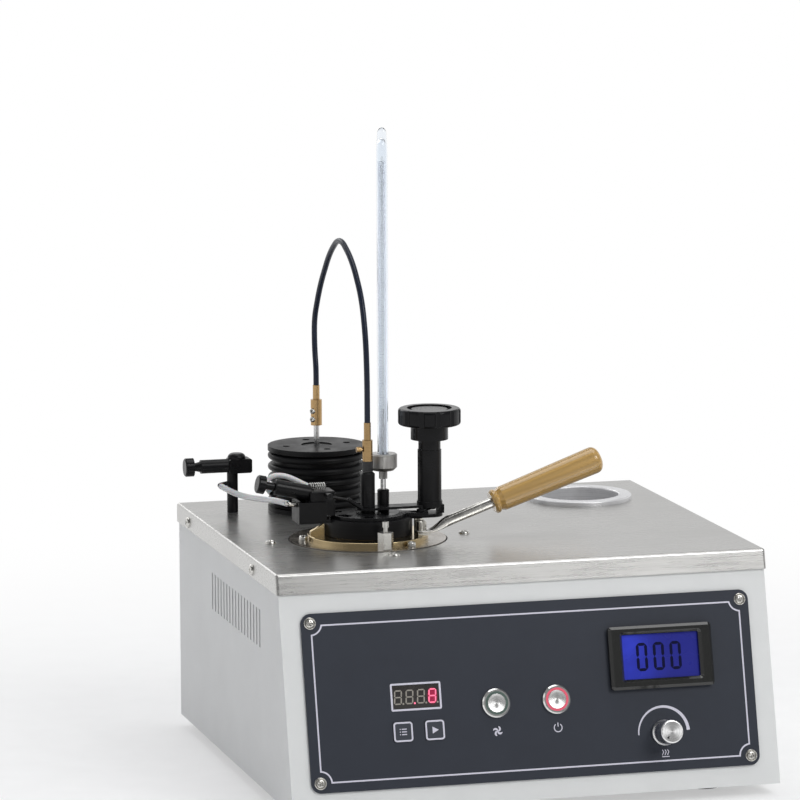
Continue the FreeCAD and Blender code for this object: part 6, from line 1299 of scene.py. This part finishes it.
VALVE_START = (-112.8 * MM, -7.6 * MM, 186.9 * MM)
VALVE_TILT = math.radians(12.6)
VALVE_LENGTH = 23.9 * MM
VALVE_RADIUS = 5.15 * MM
VALVE_CHAMFER = 0.5 * MM
VALVE_BORE = 2.9 * MM
VALVE_BORE_DEPTH = 5.2 * MM
VALVE_SIDES = 64


def make_valve_barrel():
    """The lid valve's barrel, turned round its own axis, with the hollow that its spindle sits in."""
    out = (-math.cos(VALVE_TILT), 0, math.sin(VALVE_TILT))
    up = (math.sin(VALVE_TILT), 0, math.cos(VALVE_TILT))
    bore_floor = VALVE_LENGTH - VALVE_BORE_DEPTH
    profile = [(0, 0), (VALVE_RADIUS, 0), (VALVE_RADIUS, VALVE_LENGTH - VALVE_CHAMFER),
               (VALVE_RADIUS - VALVE_CHAMFER, VALVE_LENGTH), (VALVE_BORE, VALVE_LENGTH),
               (VALVE_BORE, bore_floor), (0, bore_floor)]
    barrel = turned(profile, VALVE_SIDES, VALVE_START, rows_turn(out, up))
    make_piece("lid_valve_barrel", [barrel], black_anodised("barrel_anodised", VALVE_START), "lid")


# The motor coupling's set screws: their way out, how far out they sit, and height and spin of each
SET_SCREW_TURN = math.radians(215)
SET_SCREW_OUT = 3.55 * MM
SET_SCREWS = ((216.5 * MM, 0.4), (222.1 * MM, 1.1))


def make_coupling_screws():
    """Two cross-head screws in the side of the motor's coupling."""
    steel = turned_metal("set_screw_steel", (0.70, 0.69, 0.66), (0, 0, 0), rough=(0.12, 0.24), lines=700.0)
    out = np.array([math.cos(SET_SCREW_TURN), math.sin(SET_SCREW_TURN), 0])
    turn = rows_turn(out, (0, 0, 1))
    heads = [screw(SET_SCREW, np.array([*MOTOR_AXIS, level]) + SET_SCREW_OUT * out, turn, spin)
             for level, spin in SET_SCREWS]
    piece = make_piece("coupling_screw_heads", heads, steel, "drive_coupling", SCREW_SHARP_ABOVE)
    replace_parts(piece, "coupling_screws")


# Finishes of the CAD nodes

def dress_case(colours):
    """Paint, plate, panel, feet, inlet and the parts inside the case."""
    dress(["case_shell", "rear_panel"],
          grained("white_powder_coat", colours.paint, size=1300.0, rough=(0.36, 0.48), depth=0.014,
                  contrast=0.03))
    dress(["top_plate"],
          brushed_plate("plate_brushed", (0.562, 0.557, 0.544), lines=(45.0, 3200.0, 3200.0),
                        rough=(0.24, 0.32), depth=0.0012))
    dress(["control_panel"],
          grained("slate_paint", colours.panel, size=1700.0, rough=(0.32, 0.44), depth=0.008, contrast=0.06,
                  specular_ior_level=0.35))
    dress(["feet"], grained("foot_rubber", (0.02, 0.02, 0.021), size=900.0, rough=(0.6, 0.8), depth=0.03))
    dress(["power_inlet", "fan_frame", "fan_rotor"],
          grained("moulded_black", (0.014, 0.014, 0.015), size=1100.0, rough=(0.35, 0.5), depth=0.012))
    dress(["control_board"],
          grained("board_green", (0.012, 0.10, 0.035), size=800.0, rough=(0.3, 0.45), depth=0.01))
    dress(["potentiometer"], turned_metal("control_steel", (0.5, 0.5, 0.49), (0, 0, 0)))
    dress(["stove_shell"],
          grained("stove_casting", (0.10, 0.10, 0.10), size=500.0, rough=(0.55, 0.75), depth=0.08,
                  metallic=0.6))
    dress(["heater_plate"],
          turned_metal("disc_satin", (0.40, 0.37, 0.33), (*CUP_AXIS, 0), rough=(0.20, 0.30), lines=1400.0,
                       axis=(0, 0, 1), anisotropy=0.4))
    dress(["locating_post"],
          brushed_plate("post_nickel", NICKEL, lines=(2500.0, 2500.0, 60.0), rough=(0.14, 0.26),
                        direction=(0, 0, 1), anisotropy=0.2))
    dress(["cooling_ring"],
          turned_metal("ring_spun", (0.80, 0.80, 0.81), (*WELL_AXIS, 0), rough=(0.34, 0.46), lines=1800.0,
                       metallic=0.55))


# The post's axis, for the rings in its finish
POST_AXIS = (-135 * MM, 114 * MM, 0)


def dress_motor(colours):
    """The finned motor, its shaft and coupling, the flexible sheath, the valve post and the valves' knobs."""
    axis = (*MOTOR_AXIS, 0)
    dress(["motor_housing"], black_anodised("fins_anodised", axis, rough=(0.34, 0.48), lines=1100.0))
    dress(["motor_shaft"], turned_metal("shaft_steel", STEEL, axis))
    dress(["motor_coupling"], turned_metal("coupling_brass", colours.brass, axis, rough=(0.16, 0.3)))
    dress(["flexible_shaft"],
          grained("flex_sheath", (0.0045, 0.010, 0.026), size=1500.0, rough=(0.28, 0.42), depth=0.02,
                  contrast=0.2, specular_ior_level=0.35))
    dress(["valve_post", "post_valve_body"], black_anodised("post_anodised", POST_AXIS))
    dress(["post_nipple"], black_anodised("post_nipple_black"))
    dress(["gas_inlet_elbow"],
          turned_metal("elbow_nickel", (0.62, 0.61, 0.58), (0, 0, 0), rough=(0.14, 0.26), lines=800.0))
    dress(["post_valve_knob", "lid_valve_knob", "shutter_knob"],
          grained("knob_bakelite", (0.006, 0.006, 0.007), size=900.0, rough=(0.18, 0.30), depth=0.006,
                  coat_weight=0.04, coat_roughness=0.1, specular_ior_level=0.16))


CUP_BRASS = (0.70, 0.56, 0.33)


def dress_cup(colours):
    """The brass cup, stained, with brighter worn edges that also paint a highlight on its rims, its nickelled
    bracket, and the varnished grip.
    """
    axis = (*CUP_AXIS, 0)
    cup = Finish("cup_brass", axis, metallic=1.0, anisotropic=0.4)
    rings = cup.group("rings", Lines=1500.0)
    worn = cup.group("wear", Radius=0.6 * MM)
    tone = blend_colour(cup.tree, rings.outputs["Rings"], shade(CUP_BRASS, 0.85), shade(CUP_BRASS, 1.08))
    stain = combine(cup.tree, "MULTIPLY", rings.outputs["Cloud"], 0.3)
    stained = blend_colour(cup.tree, stain, tone, shade(CUP_BRASS, 0.5))
    # Painted highlight: the brighter brass on the worn edges also stands for the highlight on the cup's rims.
    cup.colour(worn.outputs["Wear"], stained, shade(CUP_BRASS, 1.3))
    cup.roughness(rings.outputs["Cloud"], 0.10, 0.22)
    cup.bump(rings.outputs["Rings"], 0.006 * MM, 0.5)
    cup.tangent_round(axis, (0, 0, 1))
    dress(["cup"], cup.material)
    dress(["handle_bracket", "clamp_screw"],
          brushed_plate("bracket_nickel", (0.66, 0.64, 0.59), lines=(800.0, 800.0, 60.0), rough=(0.12, 0.24),
                        direction=(0, 0, 1), anisotropy=0.2))
    grip = Finish("grip_varnish", HANDLE_START, HANDLE_LEAN, coat_weight=1.0, coat_roughness=0.09)
    figure = grip.group("wood")
    tone = blend_colour(grip.tree, figure.outputs["Figure"], shade(colours.wood, 0.86),
                        shade(colours.wood, 1.06))
    pores = spread(grip.tree, figure.outputs["Fibre"], 0.5, 0.75, 0.0, 0.22)
    grip.colour(pores, tone, shade(colours.wood, 0.5))
    grip.roughness(figure.outputs["Fibre"], 0.32, 0.5)
    grip.bump(figure.outputs["Fibre"], 0.03 * MM, 0.25)
    dress(["wooden_grip"], grip.material)


def dress_lid(colours):
    """The black lid with its mechanism, the shutter, the burner, the stirrer and the knurled nuts."""
    axis = (*CUP_AXIS, 0)
    dress(["lid_cover", "shutter_tower", "burner_stand", "lid_valve_body", "stirrer_column",
           "thermometer_holder"], black_anodised("lid_anodised", axis))
    dress(["shutter", "flame_tube"],
          black_anodised("shutter_blackened", axis, rough=(0.20, 0.34), wear=0.6 * MM))
    dress(["return_spring", "stirrer_shaft"],
          brushed_plate("wire_steel", (0.6, 0.6, 0.58), lines=(700.0, 700.0, 700.0), rough=(0.2, 0.34),
                        direction=(1, 0, 0), anisotropy=0.0))
    dress(["stirrer_coupling"],
          turned_metal("stirrer_brass", shade(colours.brass, 0.86), axis, rough=(0.18, 0.34)))
    collar = Finish("collar_knurled", axis, specular_ior_level=0.6)
    knurl = collar.group("knurl", Count=26.0, Lean=2200.0)
    # Painted shade and sheen: the knurl's grooves are coloured darker and its crests lighter.
    collar.colour(knurl.outputs["Height"], (0.006, 0.006, 0.007), (0.022, 0.022, 0.024))
    collar.roughness(knurl.outputs["Height"], 0.4, 0.28)
    collar.bump(knurl.outputs["Height"], 0.18 * MM)
    dress(["stirrer_collar"], collar.material)
    nut = Finish("ferrule_knurled", (*THERMO_AXIS, 0), metallic=1.0)
    knurl = nut.group("knurl", Count=34.0, Lean=4200.0)
    rings = nut.group("rings", Lines=900.0)
    # Painted shade and sheen: the knurl's grooves are coloured darker and its crests lighter.
    nut.colour(knurl.outputs["Height"], (0.26, 0.25, 0.245), (0.60, 0.59, 0.57))
    nut.roughness(rings.outputs["Cloud"], 0.28, 0.42)
    nut.bump(knurl.outputs["Height"], 0.2 * MM)
    dress(["thermometer_ferrule"], nut.material)
    dress(["thermometer_stem"], turned_metal("stem_steel", STEEL, (*THERMO_AXIS, 0)))


# Operators, their panel, and the run from start to end

class TESTER_OT_stage(bpy.types.Operator):
    """Sets up the camera, the lamps, the world and the floor"""

    bl_idname = "tester.stage"
    bl_label = "Stage"

    def execute(self, context):
        build_groups()
        context.scene.view_settings.view_transform = "Standard"
        place_camera()
        place_lamps()
        light_world()
        lay_floor()
        return {"FINISHED"}


class TESTER_OT_hoses(bpy.types.Operator):
    """Lays the gas hose and the lid's short hose"""

    bl_idname = "tester.hoses"
    bl_label = "Hoses"

    def execute(self, context):
        make_hoses(context.scene.tester_sizes)
        return {"FINISHED"}


class TESTER_OT_case(bpy.types.Operator):
    """Paints the case and dresses its plate, panel and inside"""

    bl_idname = "tester.case"
    bl_label = "Case finishes"

    def execute(self, context):
        dress_case(context.scene.tester_colours)
        return {"FINISHED"}


class TESTER_OT_print(bpy.types.Operator):
    """Prints the panel's border, frame, arc and signs"""

    bl_idname = "tester.print"
    bl_label = "Panel print"

    def execute(self, context):
        print_panel(context.scene.tester_sizes, context.scene.tester_colours)
        return {"FINISHED"}


class TESTER_OT_displays(bpy.types.Operator):
    """Lights the digit window and the voltmeter"""

    bl_idname = "tester.displays"
    bl_label = "Displays"

    def execute(self, context):
        display_finishes(context.scene.tester_colours)
        make_displays(context.scene.tester_sizes, context.scene.tester_colours)
        return {"FINISHED"}


class TESTER_OT_controls(bpy.types.Operator):
    """Makes the button faces and halo rings, and dresses the knob and keys"""

    bl_idname = "tester.controls"
    bl_label = "Controls"

    def execute(self, context):
        dress_controls(context.scene.tester_colours)
        return {"FINISHED"}


class TESTER_OT_screws(bpy.types.Operator):
    """Makes the cross-head screws of the case, panel and disc"""

    bl_idname = "tester.screws"
    bl_label = "Screws"

    def execute(self, context):
        make_screws()
        return {"FINISHED"}


class TESTER_OT_motor(bpy.types.Operator):
    """Dresses the motor, its coupling, the sheath and the valve post"""

    bl_idname = "tester.motor"
    bl_label = "Motor finishes"

    def execute(self, context):
        dress_motor(context.scene.tester_colours)
        return {"FINISHED"}


class TESTER_OT_cup(bpy.types.Operator):
    """Dresses the cup, its bracket and the grip"""

    bl_idname = "tester.cup"
    bl_label = "Cup finishes"

    def execute(self, context):
        dress_cup(context.scene.tester_colours)
        return {"FINISHED"}


class TESTER_OT_handle(bpy.types.Operator):
    """Makes the tube pressed flat at its low end"""

    bl_idname = "tester.handle"
    bl_label = "Handle tube"

    def execute(self, context):
        make_handle_tube()
        return {"FINISHED"}


class TESTER_OT_barrel(bpy.types.Operator):
    """Makes the barrel of the lid's valve"""

    bl_idname = "tester.barrel"
    bl_label = "Valve barrel"

    def execute(self, context):
        make_valve_barrel()
        return {"FINISHED"}


class TESTER_OT_set_screws(bpy.types.Operator):
    """Makes the two screws in the motor's coupling"""

    bl_idname = "tester.set_screws"
    bl_label = "Coupling screws"

    def execute(self, context):
        make_coupling_screws()
        return {"FINISHED"}


class TESTER_OT_lid(bpy.types.Operator):
    """Dresses the lid, the shutter, the burner and the stirrer"""

    bl_idname = "tester.lid"
    bl_label = "Lid finishes"

    def execute(self, context):
        dress_lid(context.scene.tester_colours)
        return {"FINISHED"}


class TESTER_OT_thermometer(bpy.types.Operator):
    """Makes the glass sheath, its scale and its capillary"""

    bl_idname = "tester.thermometer"
    bl_label = "Thermometer"

    def execute(self, context):
        make_sheath(context.scene.tester_sizes.glass_radius)
        make_scale(context.scene.tester_sizes.degree_marks)
        make_capillary()
        return {"FINISHED"}


# In the order in which they run
OPERATORS = [
    TESTER_OT_stage, TESTER_OT_hoses, TESTER_OT_case, TESTER_OT_print,
    TESTER_OT_displays, TESTER_OT_controls, TESTER_OT_screws, TESTER_OT_motor,
    TESTER_OT_cup, TESTER_OT_handle, TESTER_OT_barrel, TESTER_OT_set_screws,
    TESTER_OT_lid, TESTER_OT_thermometer,
]


class TESTER_PT_looks(bpy.types.Panel):
    """Lists the tester's operators"""

    bl_idname = "TESTER_PT_looks"
    bl_label = "Flash point tester"
    bl_space_type = "VIEW_3D"
    bl_region_type = "UI"
    bl_category = "Tester"

    def draw(self, context):
        for item in OPERATORS:
            self.layout.operator(item.bl_idname)


CLASSES = [TesterSizes, TesterColours, *OPERATORS, TESTER_PT_looks]


def register():
    for item in CLASSES:
        bpy.utils.register_class(item)
    bpy.types.Scene.tester_sizes = PointerProperty(type=TesterSizes)
    bpy.types.Scene.tester_colours = PointerProperty(type=TesterColours)


def unregister():
    del bpy.types.Scene.tester_colours
    del bpy.types.Scene.tester_sizes
    for item in reversed(CLASSES):
        bpy.utils.unregister_class(item)


def main():
    """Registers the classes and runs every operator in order."""
    register()
    for item in OPERATORS:
        group, name = item.bl_idname.split(".")
        getattr(getattr(bpy.ops, group), name)()


if __name__ == "__main__":
    main()
